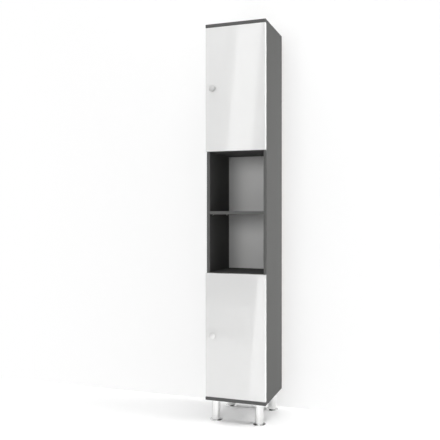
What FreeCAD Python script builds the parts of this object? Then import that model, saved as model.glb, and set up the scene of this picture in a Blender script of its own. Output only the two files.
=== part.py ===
import FreeCAD, Part
import math
import os
import re

import Sketcher

# Tall free-standing bathroom cabinet: a narrow column of boards on four tube legs, with a door at the top,
# an open niche with one shelf in the middle and a door at the bottom.
# Frame: X to the right, Y from the front to the back, Z up. The origin lies on the floor under the middle
# of everything the cabinet covers, its knobs included.

document = FreeCAD.newDocument("TallCabinet")
sheet = document.addObject("Spreadsheet::Sheet", "Sizes")

SIZES = (
    ("cabinet_width", 300, "over the side boards"),
    ("cabinet_depth", 300, "from the door fronts to the rear edges"),
    ("cabinet_height", 1900, "from the floor to the top"),
    ("leg_height", 100, "from the floor to the bottom panel"),
    ("board", 15, "thickness of the carcass boards"),
    ("edge_round", 0.5, "rounding of the carcass edge bands"),
    ("lower_cupboard", 580, "clear height behind the lower door"),
    ("upper_cupboard", 580, "clear height behind the upper door"),
    ("niche_shelf_rise", 280, "clear height under the niche shelf"),
    ("lower_shelf_rise", 282, "clear height under the shelf behind the lower door"),
    ("upper_shelf_rise", 282, "clear height under the shelf behind the upper door"),
    ("shelf_play", 0.5, "gap at each end of a loose shelf"),
    ("shelf_setback", 20, "loose cupboard shelves stand back from the carcass edges"),
    ("niche_setback", 1, "the niche shelf stands back from the carcass edges"),
    ("rebate_depth", 5, "rebate for the back panel, measured from the rear"),
    ("rebate_width", 8, "rebate for the back panel, measured into the boards"),
    ("back_board", 3, "thickness of the back panel"),
    ("back_play", 1, "gap round the back panel in its rebate"),
    ("door_board", 15, "thickness of the doors"),
    ("door_round", 1, "rounding of the door edges"),
    ("door_clearance", 2, "gap between a door's back and the carcass edges"),
    ("door_reveal", 1.5, "gap between a door and the top or bottom panel"),
    ("niche_reveal", 1, "a door stops this far short of the niche"),
    ("door_side_reveal", 0.5, "a door is this much narrower on each side"),
    ("knob_diameter", 30, "head of a knob"),
    ("knob_reach", 24, "a knob stands this far out of its door"),
    ("knob_neck", 14, "diameter of a knob's neck"),
    ("knob_neck_rise", 9, "length of a knob's neck"),
    ("knob_flare", 10.5, "radius of the hollow flare from a knob's neck to its head"),
    ("knob_side", 2, "straight side of a knob's head"),
    ("knob_dome", 3, "rise of a knob's face"),
    ("knob_inset", 41, "from the free edge of a door to its knob"),
    ("knob_bore_depth", 12, "threaded hole in a knob"),
    ("knob_screw", 4, "thread of a knob's screw"),
    ("screw_play", 0.25, "radial gap round a screw in a plain hole"),
    ("thread_play", 0.05, "radial gap round a screw in its thread"),
    ("hole_end", 0.5, "a blind hole goes this much deeper than its screw"),
    ("head_width", 1.9, "head of a screw, in shank diameters"),
    ("head_height", 0.55, "head of a screw, in shank diameters"),
    ("head_flat", 0.6, "flat top of a screw's head, as a share of its width"),
    ("head_side", 0.45, "straight side of a screw's head, as a share of its height"),
    ("pad_diameter", 8, "door pads"),
    ("pad_chamfer", 0.6, "edge of a door pad"),
    ("pad_inset", 7.5, "from the free edge of a door to its pads"),
    ("pad_end", 22.5, "from the ends of a door to its pads"),
    ("pad_gap", 0.3, "between a pad and the carcass edge"),
    ("hinge_inset", 80, "from the end of a door to its hinge"),
    ("cup_diameter", 35, "hinge cup bore"),
    ("cup_edge", 5, "from the door's edge to the cup bore"),
    ("cup_depth", 11.5, "depth of a hinge cup"),
    ("cup_wall", 1, "sheet of a hinge cup"),
    ("cup_play", 0.1, "gap between a cup and its bore"),
    ("flange_thickness", 1.2, "flange of a hinge cup"),
    ("flange_margin", 1.5, "flange beyond the cup bore"),
    ("wing_width", 12, "wings of a hinge cup"),
    ("cup_screw_spacing", 48, "between the two screws of a cup"),
    ("cup_screw_offset", 6, "from the cup's centre to the line of its screws"),
    ("cup_screw_bite", 11, "cup screws in the door"),
    ("hinge_screw", 3.5, "wood screws of the hinges"),
    ("cup_pin_edge", 11, "from the door's edge to the cup's pin"),
    ("cup_pin_depth", 3.3, "from the door's back down to the cup's pin"),
    ("cup_pin_bite", 1.2, "a cup's pin reaches this far into the cup's wall"),
    ("arm_pin_offset", 18, "from the side board to the arm's pin"),
    ("arm_pin_back", 1, "the arm's pin lies this far behind the door's back"),
    ("hinge_pin", 3, "diameter of the hinge pins"),
    ("pin_play", 0.05, "running gap round a hinge pin"),
    ("barrel", 5.2, "outer diameter of a link's eyes"),
    ("link_width", 12.4, "height of a hinge link"),
    ("link_sheet", 2, "thickness of a hinge link"),
    ("link_elbow_in", 5.1, "from the cup's pin to the link's elbow, towards the middle of the door"),
    ("link_elbow_deep", 4, "from the cup's pin to the link's elbow, into the cup"),
    ("arm_sheet", 1.2, "sheet of a hinge arm"),
    ("arm_gap", 0.3, "gap between a link and the ears of its arm"),
    ("arm_rise", 13.2, "from the side board to the outside of the arm"),
    ("arm_lift", 0.4, "gap between an arm and the wings of its plate"),
    ("arm_front", 9, "the arm's channel starts this far behind the carcass edges"),
    ("arm_length", 54, "channel of a hinge arm"),
    ("arm_screw_spacing", 25.6, "between the two screws of an arm"),
    ("arm_screw_length", 9, "arm screws, below the head"),
    ("plate_line", 37, "screw line of the mounting plates, from the carcass edge"),
    ("plate_thickness", 3, "wings of a mounting plate"),
    ("plate_span", 46, "wings of a mounting plate, end to end"),
    ("plate_breadth", 16, "wings of a mounting plate, front to back"),
    ("plate_screw_spacing", 32, "between the two screws of a mounting plate"),
    ("plate_screw_length", 14, "plate screws, below the head"),
    ("rail_length", 40, "rail of a mounting plate"),
    ("rail_width", 10, "rail of a mounting plate, up and down"),
    ("leg_diameter", 40, "leg tube"),
    ("leg_wall", 1.5, "wall of a leg tube"),
    ("leg_chamfer", 0.3, "lower edge of a leg tube"),
    ("leg_inset", 41, "from the side to the middle of a leg"),
    ("leg_inset_front", 36, "from the front to the middle of a leg"),
    ("leg_inset_rear", 36, "from the rear to the middle of a leg"),
    ("foot_diameter", 60, "foot flange"),
    ("foot_thickness", 4.5, "foot flange"),
    ("foot_edge", 2, "straight edge of the foot flange"),
    ("foot_chamfer", 0.5, "lower edge of the foot flange"),
    ("foot_gap", 0.3, "between a foot and its leg tube when screwed in"),
    ("foot_ring", 1, "flat ring of a foot round its leg tube"),
    ("stud_diameter", 10, "screw of a foot"),
    ("stud_length", 36, "screw of a foot above its flange"),
    ("stud_chamfer", 1, "tip of a foot's screw"),
    ("plug_height", 13.5, "threaded plug in a leg tube"),
    ("plug_lift", 0.5, "from the lower end of a leg tube to its plug"),
    ("seat_thickness", 3, "steel seat that carries a leg tube"),
    ("seat_play", 0.2, "gap between a seat and its leg tube"),
    ("leg_screw", 4, "wood screws of the leg seats"),
    ("leg_screw_spacing", 16, "the four leg screws stand in a square of this side"),
    ("leg_screw_length", 12, "leg screws, below the head"),
    ("dowel_diameter", 8, "wooden dowels"),
    ("dowel_length", 30, "wooden dowels"),
    ("dowel_chamfer", 1, "ends of a dowel"),
    ("dowel_bite", 10, "dowel in the face of a board"),
    ("cam_diameter", 15, "cam of a corner fitting"),
    ("cam_height", 12, "cam of a corner fitting"),
    ("cam_reach", 34, "from the joint to the middle of a cam"),
    ("cam_slot", 1.2, "width of the cross slot in a cam"),
    ("cam_slot_depth", 2, "depth of the cross slot in a cam"),
    ("bolt_diameter", 6, "bolt of a corner fitting"),
    ("bolt_bite", 11, "bolt in the face of a board"),
    ("bolt_stop", 1, "a bolt ends this far short of the middle of its cam"),
    ("bolt_neck", 3.6, "neck of a bolt, which the cam takes hold of"),
    ("bolt_head", 5.4, "head of a bolt"),
    ("bolt_head_length", 3, "head of a bolt"),
    ("bolt_neck_length", 2.5, "neck of a bolt"),
    ("bolt_chamfer", 1, "pointed end of a bolt"),
    ("cap_diameter", 17, "cover cap of a cam"),
    ("cap_thickness", 1, "cover cap of a cam"),
    ("cap_chamfer", 0.5, "edge of a cover cap"),
    ("fitting_front", 45, "from the carcass edges to the first corner fitting"),
    ("fitting_rear", 45, "from the back panel to the second corner fitting"),
    ("dowel_spacing", 32, "from a corner fitting to its dowel"),
    ("hole_play", 0.1, "radial gap round dowels, bolts and cams"),
    ("shelf_pin", 5, "shelf pins"),
    ("shelf_pin_chamfer", 0.5, "ends of a shelf pin"),
    ("shelf_pin_bite", 8, "shelf pin in a side board"),
    ("shelf_pin_reach", 7, "shelf pin under a shelf"),
    ("shelf_pin_inset", 40, "from a shelf's edges to its pins"),
    ("nail_diameter", 1.4, "nails of the back panel"),
    ("nail_length", 18, "nails of the back panel, below the head"),
    ("nail_head", 2.8, "head of a nail"),
    ("nail_head_rise", 0.7, "middle of a nail's head over the back panel"),
    ("nail_head_edge", 0.4, "edge of a nail's head"),
    ("nail_pitch", 160, "most between two nails"),
    ("nail_end", 40, "from a side board's end to its last nail"),
    ("bracket_width", 30, "wall bracket"),
    ("bracket_leg", 32, "wall bracket, each leg"),
    ("bracket_sheet", 2, "wall bracket"),
    ("bracket_hole", 19.2, "from the bracket's corner to its holes"),
    ("bracket_screw", 4, "wood screws of the wall bracket"),
    ("bracket_screw_length", 12, "wood screws of the wall bracket, below the head"),
    ("bracket_screw_spacing", 15, "between the two screws of the wall bracket"),
    ("wall_hole", 6.5, "hole for the wall screw"),
    ("wall_hole_play", 0.75, "radial gap round that hole in the back panel"),
    ("run", 1, "cuts run this far past a face"),
)
for row, (alias, value, meaning) in enumerate(SIZES, start=1):
    sheet.set(f"A{row}", alias)
    sheet.set(f"B{row}", str(value))
    sheet.set(f"C{row}", meaning)
    sheet.setAlias(f"B{row}", alias)
document.recompute()
ALIASES = {alias for alias, value, meaning in SIZES}


def formula(text):
    """Point the size names in a formula at the sheet."""
    return re.sub(r"[a-z][a-z_]*", lambda word: ("Sizes." if word[0] in ALIASES else "") + word[0], text)


def number(text):
    """Work a formula out."""
    return float(sheet.evalExpression(formula(text)))


# Places that several pieces share, as formulas on the sheet.
HALF = "(cabinet_width / 2)"
FRONT = "(-(cabinet_depth - knob_reach) / 2)"
REAR = f"({FRONT} + cabinet_depth)"
DOOR_BACK = f"({FRONT} + door_board)"
EDGE = f"({DOOR_BACK} + door_clearance)"
BACK = f"({REAR} - rebate_depth)"
SIDE = f"({HALF} - board)"
BOTTOM = "(leg_height + board)"
TOP = "(cabinet_height - board)"
LOWER_FIXED = f"({BOTTOM} + lower_cupboard)"
NICHE_FLOOR = f"({LOWER_FIXED} + board)"
UPPER_FIXED = f"({TOP} - upper_cupboard - board)"
UPPER_FLOOR = f"({UPPER_FIXED} + board)"
NICHE_SHELF = f"({NICHE_FLOOR} + niche_shelf_rise)"
LOWER_SHELF = f"({BOTTOM} + lower_shelf_rise)"
UPPER_SHELF = f"({UPPER_FLOOR} + upper_shelf_rise)"
DOORS = {
    "upper": (f"({UPPER_FIXED} + niche_reveal)", f"({TOP} - door_reveal)"),
    "lower": (f"({BOTTOM} + door_reveal)", f"({NICHE_FLOOR} - niche_reveal)"),
}
DOOR_EDGE = f"({HALF} - door_side_reveal)"
KNOB_X = f"(-{DOOR_EDGE} + knob_inset)"
CUP_X = f"({DOOR_EDGE} - cup_edge - cup_diameter / 2)"
CUP_PIN = (f"({DOOR_EDGE} - cup_pin_edge)", f"({DOOR_BACK} - cup_pin_depth)")
ARM_PIN = (f"({SIDE} - arm_pin_offset)", f"({DOOR_BACK} + arm_pin_back)")
HINGES = {
    "upper_door_top": f"({DOORS['upper'][1]} - hinge_inset)",
    "upper_door_bottom": f"({DOORS['upper'][0]} + hinge_inset)",
    "lower_door_top": f"({DOORS['lower'][1]} - hinge_inset)",
    "lower_door_bottom": f"({DOORS['lower'][0]} + hinge_inset)",
}
LEGS = {
    "front_left": (f"(-{HALF} + leg_inset)", f"({FRONT} + leg_inset_front)"),
    "front_right": (f"({HALF} - leg_inset)", f"({FRONT} + leg_inset_front)"),
    "rear_left": (f"(-{HALF} + leg_inset)", f"({REAR} - leg_inset_rear)"),
    "rear_right": (f"({HALF} - leg_inset)", f"({REAR} - leg_inset_rear)"),
}

ALONG_X = FreeCAD.Rotation(FreeCAD.Vector(0, 1, 0), 90)
AGAINST_X = FreeCAD.Rotation(FreeCAD.Vector(0, 1, 0), -90)
ALONG_Y = FreeCAD.Rotation(FreeCAD.Vector(1, 0, 0), -90)
AGAINST_Y = FreeCAD.Rotation(FreeCAD.Vector(1, 0, 0), 90)
ALONG_Z = FreeCAD.Rotation()

nodes = {}


# ---- Ways to make a piece -------------------------------------------------------------------------------

def keep(name, piece):
    """Name a finished sub-part and put it on the list of nodes."""
    piece.Label = name
    nodes[name] = piece


def bind(piece, **formulas):
    """Bind properties of an object to the sheet."""
    for key, text in formulas.items():
        piece.setExpression(key, formula(text))


def at(piece, place, rotation=ALONG_Z):
    """Put an object at a place given by three formulas."""
    piece.Placement = FreeCAD.Placement(FreeCAD.Vector(), rotation)
    for axis, text in zip("xyz", place):
        piece.setExpression(f"Placement.Base.{axis}", formula(text))
    return piece


def box(corner, size):
    """A block from its lowest corner and its three sizes."""
    piece = document.addObject("Part::Box", "Block")
    bind(piece, Length=size[0], Width=size[1], Height=size[2])
    return at(piece, corner)


def rod(place, diameter, length, rotation=ALONG_Z):
    """A cylinder that starts at a place."""
    piece = document.addObject("Part::Cylinder", "Rod")
    bind(piece, Radius=f"({diameter}) / 2", Height=length)
    return at(piece, place, rotation)


def strip(start, end, low, thickness, width):
    """A flat strip on edge, from one place in the plan to another."""
    across = f"({end[0]} - {start[0]})"
    back = f"({end[1]} - {start[1]})"
    length = f"sqrt({across}^2 + {back}^2)"
    piece = document.addObject("Part::Box", "Strip")
    bind(piece, Length=length, Width=thickness, Height=width)
    at(piece, (f"{start[0]} + {thickness} / 2 * {back} / {length}",
               f"{start[1]} - {thickness} / 2 * {across} / {length}", low))
    bind(piece, **{"Placement.Rotation.Angle": f"atan2({back}; {across})"})
    return piece


def fused(pieces):
    group = document.addObject("Part::MultiFuse", "Whole")
    group.Shapes = pieces
    return group


def grouped(pieces):
    group = document.addObject("Part::Compound", "Group")
    group.Links = pieces
    return group


def cut(base, tools):
    """Take a list of tools out of a piece."""
    result = document.addObject("Part::Cut", "Cut")
    result.Base = base
    result.Tool = grouped(tools)
    return result


def several(name, master, places):
    """Copies of one master piece, as a node of separate solids."""
    copies = []
    for place, rotation in places:
        copy = document.addObject("App::Link", "Copy")
        copy.LinkedObject = master
        copy.LinkTransform = False
        copies.append(at(copy, place, rotation))
    keep(name, grouped(copies))


def rounded_board(corner, size, radius):
    """A board with every edge rounded."""
    body = document.addObject("PartDesign::Body", "Board")
    slab = body.newObject("PartDesign::AdditiveBox", "Slab")
    bind(slab, Length=size[0], Width=size[1], Height=size[2])
    document.recompute()
    fillet = body.newObject("PartDesign::Fillet", "Rounding")
    fillet.Base = (slab, ["Edge1"])
    fillet.UseAllEdges = True
    bind(fillet, Radius=radius)
    return at(body, corner)


# A sketch's own names for its origin and for the two ends of an edge.
ORIGIN = -1
START, END = range(1, 3)
TOUCH = 1e-6    # points of a sketch this near to each other are the same point


def sketched(name, role, corners):
    """A body with one closed sketch on an origin plane, whose corners are bound to the sheet.

    A corner is a pair of formulas. Two more, a radius and a sign, make the way to it an arc, which bulges
    to the right of that way for +1 and to the left for -1.
    """
    body = document.addObject("PartDesign::Body", name)
    sketch = body.newObject("Sketcher::SketchObject", name + "Profile")
    plane = [feature for feature in body.Origin.OriginFeatures if feature.Role == role][0]
    sketch.AttachmentSupport = [(plane, "")]
    sketch.MapMode = "FlatFace"
    ends = [FreeCAD.Vector(number(corner[0]), number(corner[1]), 0) for corner in corners]
    for index, corner in enumerate(corners):
        start = ends[index - 1]
        edge = Part.LineSegment(start, ends[index])
        if len(corner) > 2:
            edge = Part.Arc(start, arc_middle(start, ends[index], number(corner[2]), corner[3]), ends[index])
        sketch.addGeometry(edge, False)
    for index, corner in enumerate(corners):
        after = (index + 1) % len(corners)
        here = end_near(sketch, index, ends[index])
        sketch.addConstraint(Sketcher.Constraint("Coincident", index, here, after,
                                                 end_near(sketch, after, ends[index])))
        for kind, text in zip(("DistanceX", "DistanceY"), corner):
            hold(sketch, Sketcher.Constraint(kind, ORIGIN, START, index, here, number(text)), text)
        if len(corner) > 2:
            hold(sketch, Sketcher.Constraint("Radius", index, number(corner[2])), corner[2])
    return body, sketch


def end_near(sketch, edge, point):
    """Which end of a sketch's edge lies at a point."""
    return START if sketch.getPoint(edge, START).isEqual(point, TOUCH) else END


def hold(sketch, constraint, text):
    """Add a constraint and bind its value to the sheet."""
    index = sketch.addConstraint(constraint)
    sketch.setExpression(f"Constraints[{index}]", formula(text))


def arc_middle(start, end, radius, side):
    """The middle of an arc over a chord."""
    chord = end - start
    half = chord.Length / 2
    rise = radius - math.sqrt(max(radius ** 2 - half ** 2, 0))
    outwards = FreeCAD.Vector(chord.y, -chord.x, 0).normalize()
    return start + chord / 2 + outwards * rise * side


def turned(name, corners):
    """A body turned about its own Z axis from a profile of radius and height."""
    body, sketch = sketched(name, "XZ_Plane", corners)
    feature = body.newObject("PartDesign::Revolution", "Revolution")
    feature.Profile = sketch
    feature.ReferenceAxis = (sketch, ["V_Axis"])
    feature.Angle = 360
    return body


def padded(name, corners, height):
    """A body raised from an outline in the plan."""
    body, sketch = sketched(name, "XY_Plane", corners)
    feature = body.newObject("PartDesign::Pad", "Pad")
    feature.Profile = sketch
    bind(feature, Length=height)
    return body


def wood_screw(name, diameter, length):
    """A pan head screw along its own Z: the head's underside lies at zero and the shank points up."""
    radius = f"({diameter} / 2)"
    head = f"({radius} * head_width)"
    rise = f"({diameter} * head_height)"
    return turned(name, [("0", f"-{rise}"), (f"{head} * head_flat", f"-{rise}"),
                         (head, f"-{rise} * head_side"), (head, "0"), (radius, "0"),
                         (radius, f"{length} - {radius}"), ("0", length)])


# ---- Corner fittings and dowels -------------------------------------------------------------------------
# Every joint of two boards has two cam fittings and two dowels. The bolt and dowel stand in the face of
# one board and run along the mid plane of the other.

MIDDLE = "(board / 2)"
FITTING_ROWS = (f"({EDGE} + fitting_front)", f"({BACK} - fitting_rear)")
DOWEL_ROWS = (f"({EDGE} + fitting_front + dowel_spacing)", f"({BACK} - fitting_rear - dowel_spacing)")
AXES = {"x": FreeCAD.Vector(1, 0, 0), "z": FreeCAD.Vector(0, 0, 1)}


class Joint:
    """A joint between the end of one board and the face of another."""

    def __init__(self, face_board, end_board, place, along, cam_side):
        self.face_board = face_board
        self.end_board = end_board
        self.place = place          # x and z of the joint's middle, as formulas
        self.along = along          # sign and axis of the way into the end board
        self.cam_side = cam_side    # sign and axis of the way out of the cam's hole

    def point(self, row, distance, aside="0"):
        """A point along the bolt's line, and off it towards the cam's open side."""
        shift = {self.along[1]: f"{self.along[0]} ({distance})",
                 self.cam_side[1]: f"{self.cam_side[0]} ({aside})"}
        return (f"{self.place[0]} {shift['x']}", row, f"{self.place[1]} {shift['z']}")

    def cam_turn(self):
        """Local X along the bolt and local Z out of the cam's hole."""
        along, out = [AXES[axis] * float(sign + "1") for sign, axis in (self.along, self.cam_side)]
        return FreeCAD.Rotation(along, FreeCAD.Vector(), out, "XZY")

    def bolt_turn(self):
        """Local Z along the bolt."""
        return self.cam_turn().multiply(ALONG_X)


JOINTS = []
for sign, inward, side in (("-", "+", "left_side"), ("+", "-", "right_side")):
    middle_x = f"{sign}({HALF} - {MIDDLE})"
    JOINTS.append(Joint("top_panel", side, (middle_x, TOP), ("-", "z"), (inward, "x")))
    JOINTS.append(Joint("bottom_panel", side, (middle_x, BOTTOM), ("+", "z"), (inward, "x")))
    for shelf, under, cam_side in (("upper_fixed_shelf", UPPER_FIXED, "+"),
                                   ("lower_fixed_shelf", LOWER_FIXED, "-")):
        place = (f"{sign}{SIDE}", f"({under} + {MIDDLE})")
        JOINTS.append(Joint(side, shelf, place, (inward, "x"), (cam_side, "z")))


def fitting_holes(board_name):
    """The holes that the corner fittings and dowels need in one board."""
    bolt_hole = "bolt_diameter + 2 * hole_play"
    dowel_hole = "dowel_diameter + 2 * hole_play"
    dowel_reach = "dowel_length - dowel_bite + hole_play + run"
    holes = []
    for joint in JOINTS:
        turn = joint.bolt_turn()
        if joint.face_board == board_name:
            for rows, width, bite in ((FITTING_ROWS, bolt_hole, "bolt_bite"),
                                      (DOWEL_ROWS, dowel_hole, "dowel_bite")):
                for y in rows:
                    start = joint.point(y, f"-({bite} + hole_play)")
                    holes.append(rod(start, width, f"{bite} + hole_play + run", turn))
        if joint.end_board == board_name:
            for y in FITTING_ROWS:
                holes.append(rod(joint.point(y, "-run"), bolt_hole, "cam_reach + run", turn))
                floor = joint.point(y, "cam_reach", f"{MIDDLE} - cam_height")
                holes.append(rod(floor, "cam_diameter + 2 * hole_play", "cam_height + run", joint.cam_turn()))
            for y in DOWEL_ROWS:
                holes.append(rod(joint.point(y, "-run"), dowel_hole, dowel_reach, turn))
    return holes


def fitting_places(rows, distance, aside="0", turn=Joint.bolt_turn):
    """Where the copies of one piece of the fittings go, in every joint."""
    return [(joint.point(y, distance, aside), turn(joint)) for joint in JOINTS for y in rows]


def make_dowels():
    radius = "(dowel_diameter / 2)"
    dowel = turned("Dowel", [("0", "0"), (f"{radius} - dowel_chamfer", "0"), (radius, "dowel_chamfer"),
                             (radius, "dowel_length - dowel_chamfer"),
                             (f"{radius} - dowel_chamfer", "dowel_length"), ("0", "dowel_length")])
    several("wood_dowels", dowel, fitting_places(DOWEL_ROWS, "-dowel_bite"))


def make_cam_bolts():
    """The bolt ends in a neck and a head that the cam takes hold of."""
    radius = "(bolt_diameter / 2)"
    tip = "(bolt_bite + cam_reach - bolt_stop)"
    head = f"({tip} - bolt_head_length)"
    neck = f"({head} - bolt_neck_length)"
    bolt = turned("Bolt", [("0", "0"), (f"{radius} - bolt_chamfer", "0"), (radius, "bolt_chamfer"),
                           (radius, neck), ("bolt_neck / 2", neck), ("bolt_neck / 2", head),
                           ("bolt_head / 2", head), ("bolt_head / 2", tip), ("0", tip)])
    several("cam_bolts", bolt, fitting_places(FITTING_ROWS, "-bolt_bite"))


def make_cams():
    """A drum with a way in for the bolt's head on one side and a cross slot on its face."""
    face = "(cam_height - cap_thickness)"
    drum = rod(("0", "0", "0"), "cam_diameter", face)
    way_in = rod(("-cam_diameter", "0", f"cam_height - {MIDDLE}"), "bolt_diameter + 2 * hole_play",
                 "cam_diameter + bolt_diameter / 2", ALONG_X)
    sides = ("cam_diameter / 2", "cam_slot")
    slots = []
    for long, wide in (sides, sides[::-1]):
        slots.append(box((f"-({long}) / 2", f"-({wide}) / 2", f"{face} - cam_slot_depth"),
                         (long, wide, "cam_slot_depth + run")))
    several("cams", cut(drum, [way_in] + slots),
            fitting_places(FITTING_ROWS, "cam_reach", f"{MIDDLE} - cam_height", Joint.cam_turn))

    rim = "(cap_diameter / 2)"
    stem = "(cam_diameter / 2)"
    cap = turned("Cap", [("0", "-cap_thickness"), (stem, "-cap_thickness"), (stem, "0"), (rim, "0"),
                         (rim, "cap_thickness - cap_chamfer"), (f"{rim} - cap_chamfer", "cap_thickness"),
                         ("0", "cap_thickness")])
    several("cam_caps", cap, fitting_places(FITTING_ROWS, "cam_reach", MIDDLE, Joint.cam_turn))


# ---- Shelf pins -----------------------------------------------------------------------------------------

LOOSE_SHELVES = {
    "niche_shelf": (NICHE_SHELF, "niche_setback"),
    "upper_cupboard_shelf": (UPPER_SHELF, "shelf_setback"),
    "lower_cupboard_shelf": (LOWER_SHELF, "shelf_setback"),
}


def pin_spots():
    """Y and Z of the pins on one side: a pin's axis lies half its own thickness under its shelf."""
    spots = []
    for under, setback in LOOSE_SHELVES.values():
        for y in (f"{EDGE} + {setback} + shelf_pin_inset", f"{BACK} - shelf_pin_inset"):
            spots.append((y, f"{under} - shelf_pin / 2"))
    return spots


def pin_holes(sign):
    """The holes for the shelf pins in the left (-) or right (+) side board."""
    turn = {"-": AGAINST_X, "+": ALONG_X}[sign]
    return [rod((f"{sign}({SIDE} - run)", y, z), "shelf_pin + 2 * hole_play",
                "shelf_pin_bite + hole_play + run", turn) for y, z in pin_spots()]


def make_shelf_pins():
    """A plain steel pin, half in the side board and half under the shelf."""
    radius = "(shelf_pin / 2)"
    tip = f"({radius} - shelf_pin_chamfer)"
    pin = turned("ShelfPin", [("0", "-shelf_pin_bite"), (tip, "-shelf_pin_bite"),
                              (radius, "shelf_pin_chamfer - shelf_pin_bite"),
                              (radius, "shelf_pin_reach - shelf_pin_chamfer"), (tip, "shelf_pin_reach"),
                              ("0", "shelf_pin_reach")])
    several("shelf_pins", pin, [((f"{sign}{SIDE}", y, z), turn) for y, z in pin_spots()
                                for sign, turn in (("-", ALONG_X), ("+", AGAINST_X))])


# ---- Boards ---------------------------------------------------------------------------------------------

def make_panels():
    """Top and bottom panel, as deep as the cabinet, with the rebate for the back."""
    size = ("cabinet_width", "cabinet_depth", "board")
    rebate_size = (f"2 * ({SIDE} + rebate_width)", "rebate_depth + run", "rebate_width + run")
    for name, under, rebate_under in (("top_panel", TOP, f"{TOP} - run"),
                                      ("bottom_panel", "leg_height", f"{BOTTOM} - rebate_width")):
        panel = rounded_board((f"-{HALF}", FRONT, under), size, "edge_round")
        rebate = box((f"-({SIDE} + rebate_width)", BACK, rebate_under), rebate_size)
        own_holes = bracket_screw_holes() if name == "top_panel" else leg_screw_holes()
        keep(name, cut(panel, [rebate] + fitting_holes(name) + board_nail_holes(name) + own_holes))


def make_sides():
    """Side boards between the two panels, with a rebate for the back and the holes of everything in them."""
    size = ("board", f"{REAR} - {EDGE}", f"{TOP} - {BOTTOM}")
    rebate_size = ("rebate_width + run", "rebate_depth + run", f"{TOP} - {BOTTOM} + 2 * run")
    for name, sign, corner, rebate_corner in (("left_side", "-", f"-{HALF}", f"-({SIDE} + rebate_width)"),
                                              ("right_side", "+", SIDE, f"{SIDE} - run")):
        board = rounded_board((corner, EDGE, BOTTOM), size, "edge_round")
        rebate = box((rebate_corner, BACK, f"{BOTTOM} - run"), rebate_size)
        tools = [rebate] + fitting_holes(name) + board_nail_holes(name) + pin_holes(sign)
        if name == "right_side":
            tools += plate_screw_holes()
        keep(name, cut(board, tools))


def make_shelves():
    """Two fixed shelves between the sides, and three that lie loose on pins."""
    fixed_size = (f"2 * {SIDE}", f"{BACK} - {EDGE}", "board")
    for name, under in (("upper_fixed_shelf", UPPER_FIXED), ("lower_fixed_shelf", LOWER_FIXED)):
        board = rounded_board((f"-{SIDE}", EDGE, under), fixed_size, "edge_round")
        keep(name, cut(board, fitting_holes(name) + board_nail_holes(name)))
    for name, (under, setback) in LOOSE_SHELVES.items():
        size = (f"2 * ({SIDE} - shelf_play)", f"{BACK} - {EDGE} - {setback} - shelf_play", "board")
        corner = (f"-({SIDE} - shelf_play)", f"{EDGE} + {setback}", under)
        keep(name, rounded_board(corner, size, "edge_round"))


def make_back():
    """Thin back panel in the rebates, with a hole for the wall screw."""
    half = f"({SIDE} + rebate_width - back_play)"
    low = f"({BOTTOM} - rebate_width + back_play)"
    high = f"({TOP} + rebate_width - back_play)"
    through = "back_board + 2 * run"
    panel = box((f"-{half}", BACK, low), (f"2 * {half}", "back_board", f"{high} - {low}"))
    hole = rod(("0", f"{BACK} - run", WALL_HOLE_Z), "wall_hole + 2 * wall_hole_play", through, ALONG_Y)
    keep("back_panel", cut(panel, [hole] + nail_holes(all_nail_spots(), f"{BACK} - run", through)))


# ---- Nails of the back panel ----------------------------------------------------------------------------

CROSS_NAILS = {
    "bottom_panel": f"({BOTTOM} - rebate_width / 2)",
    "lower_fixed_shelf": f"({LOWER_FIXED} + {MIDDLE})",
    "upper_fixed_shelf": f"({UPPER_FIXED} + {MIDDLE})",
    "top_panel": f"({TOP} + rebate_width / 2)",
}


def nail_spots(board_name):
    """X and Z of the nails in one board: evenly up a side board, two in a board that runs across."""
    if board_name in CROSS_NAILS:
        return [(f"{sign}{SIDE} / 2", CROSS_NAILS[board_name]) for sign in "-+"]
    sign = "-" if board_name == "left_side" else "+"
    low = f"({BOTTOM} + nail_end)"
    rise = f"({TOP} - nail_end - {low})"
    x = f"{sign}({SIDE} + rebate_width / 2)"
    gaps = math.ceil(number(f"{rise} / nail_pitch"))
    return [(x, f"{low} + {rise} * {step} / {gaps}") for step in range(gaps + 1)]


def all_nail_spots():
    return [spot for name in ("left_side", "right_side", *CROSS_NAILS) for spot in nail_spots(name)]


def nail_holes(spots, front, length):
    """Holes no wider than the nails need, from a given front."""
    return [rod((x, front, z), "nail_diameter + 2 * thread_play", length, ALONG_Y) for x, z in spots]


def board_nail_holes(board_name):
    """The nails' holes in one board, from the back panel forwards."""
    bite = "(nail_length - back_board + hole_play)"
    return nail_holes(nail_spots(board_name), f"{BACK} - {bite}", f"{bite} + run")


def make_nails():
    """The nails that hold the back panel, with flat heads behind it."""
    radius = "(nail_diameter / 2)"
    head = "(nail_head / 2)"
    nail = turned("Nail", [("0", "-nail_length"), (radius, "nail_diameter - nail_length"), (radius, "0"),
                           (head, "0"), (head, "nail_head_edge"), ("0", "nail_head_rise")])
    under_head = f"{BACK} + back_board"
    several("back_panel_nails", nail, [((x, under_head, z), ALONG_Y) for x, z in all_nail_spots()])


# ---- Wall bracket ---------------------------------------------------------------------------------------

WALL_HOLE_Z = f"({TOP} - bracket_hole)"


def bracket_screw_spots(z):
    return [(f"{sign}bracket_screw_spacing / 2", f"{BACK} - bracket_hole", z) for sign in "-+"]


def bracket_screw_holes():
    length = "bracket_screw_length - bracket_sheet + hole_end + run"
    return [rod(spot, "bracket_screw + 2 * thread_play", length)
            for spot in bracket_screw_spots(f"{TOP} - run")]


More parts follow.
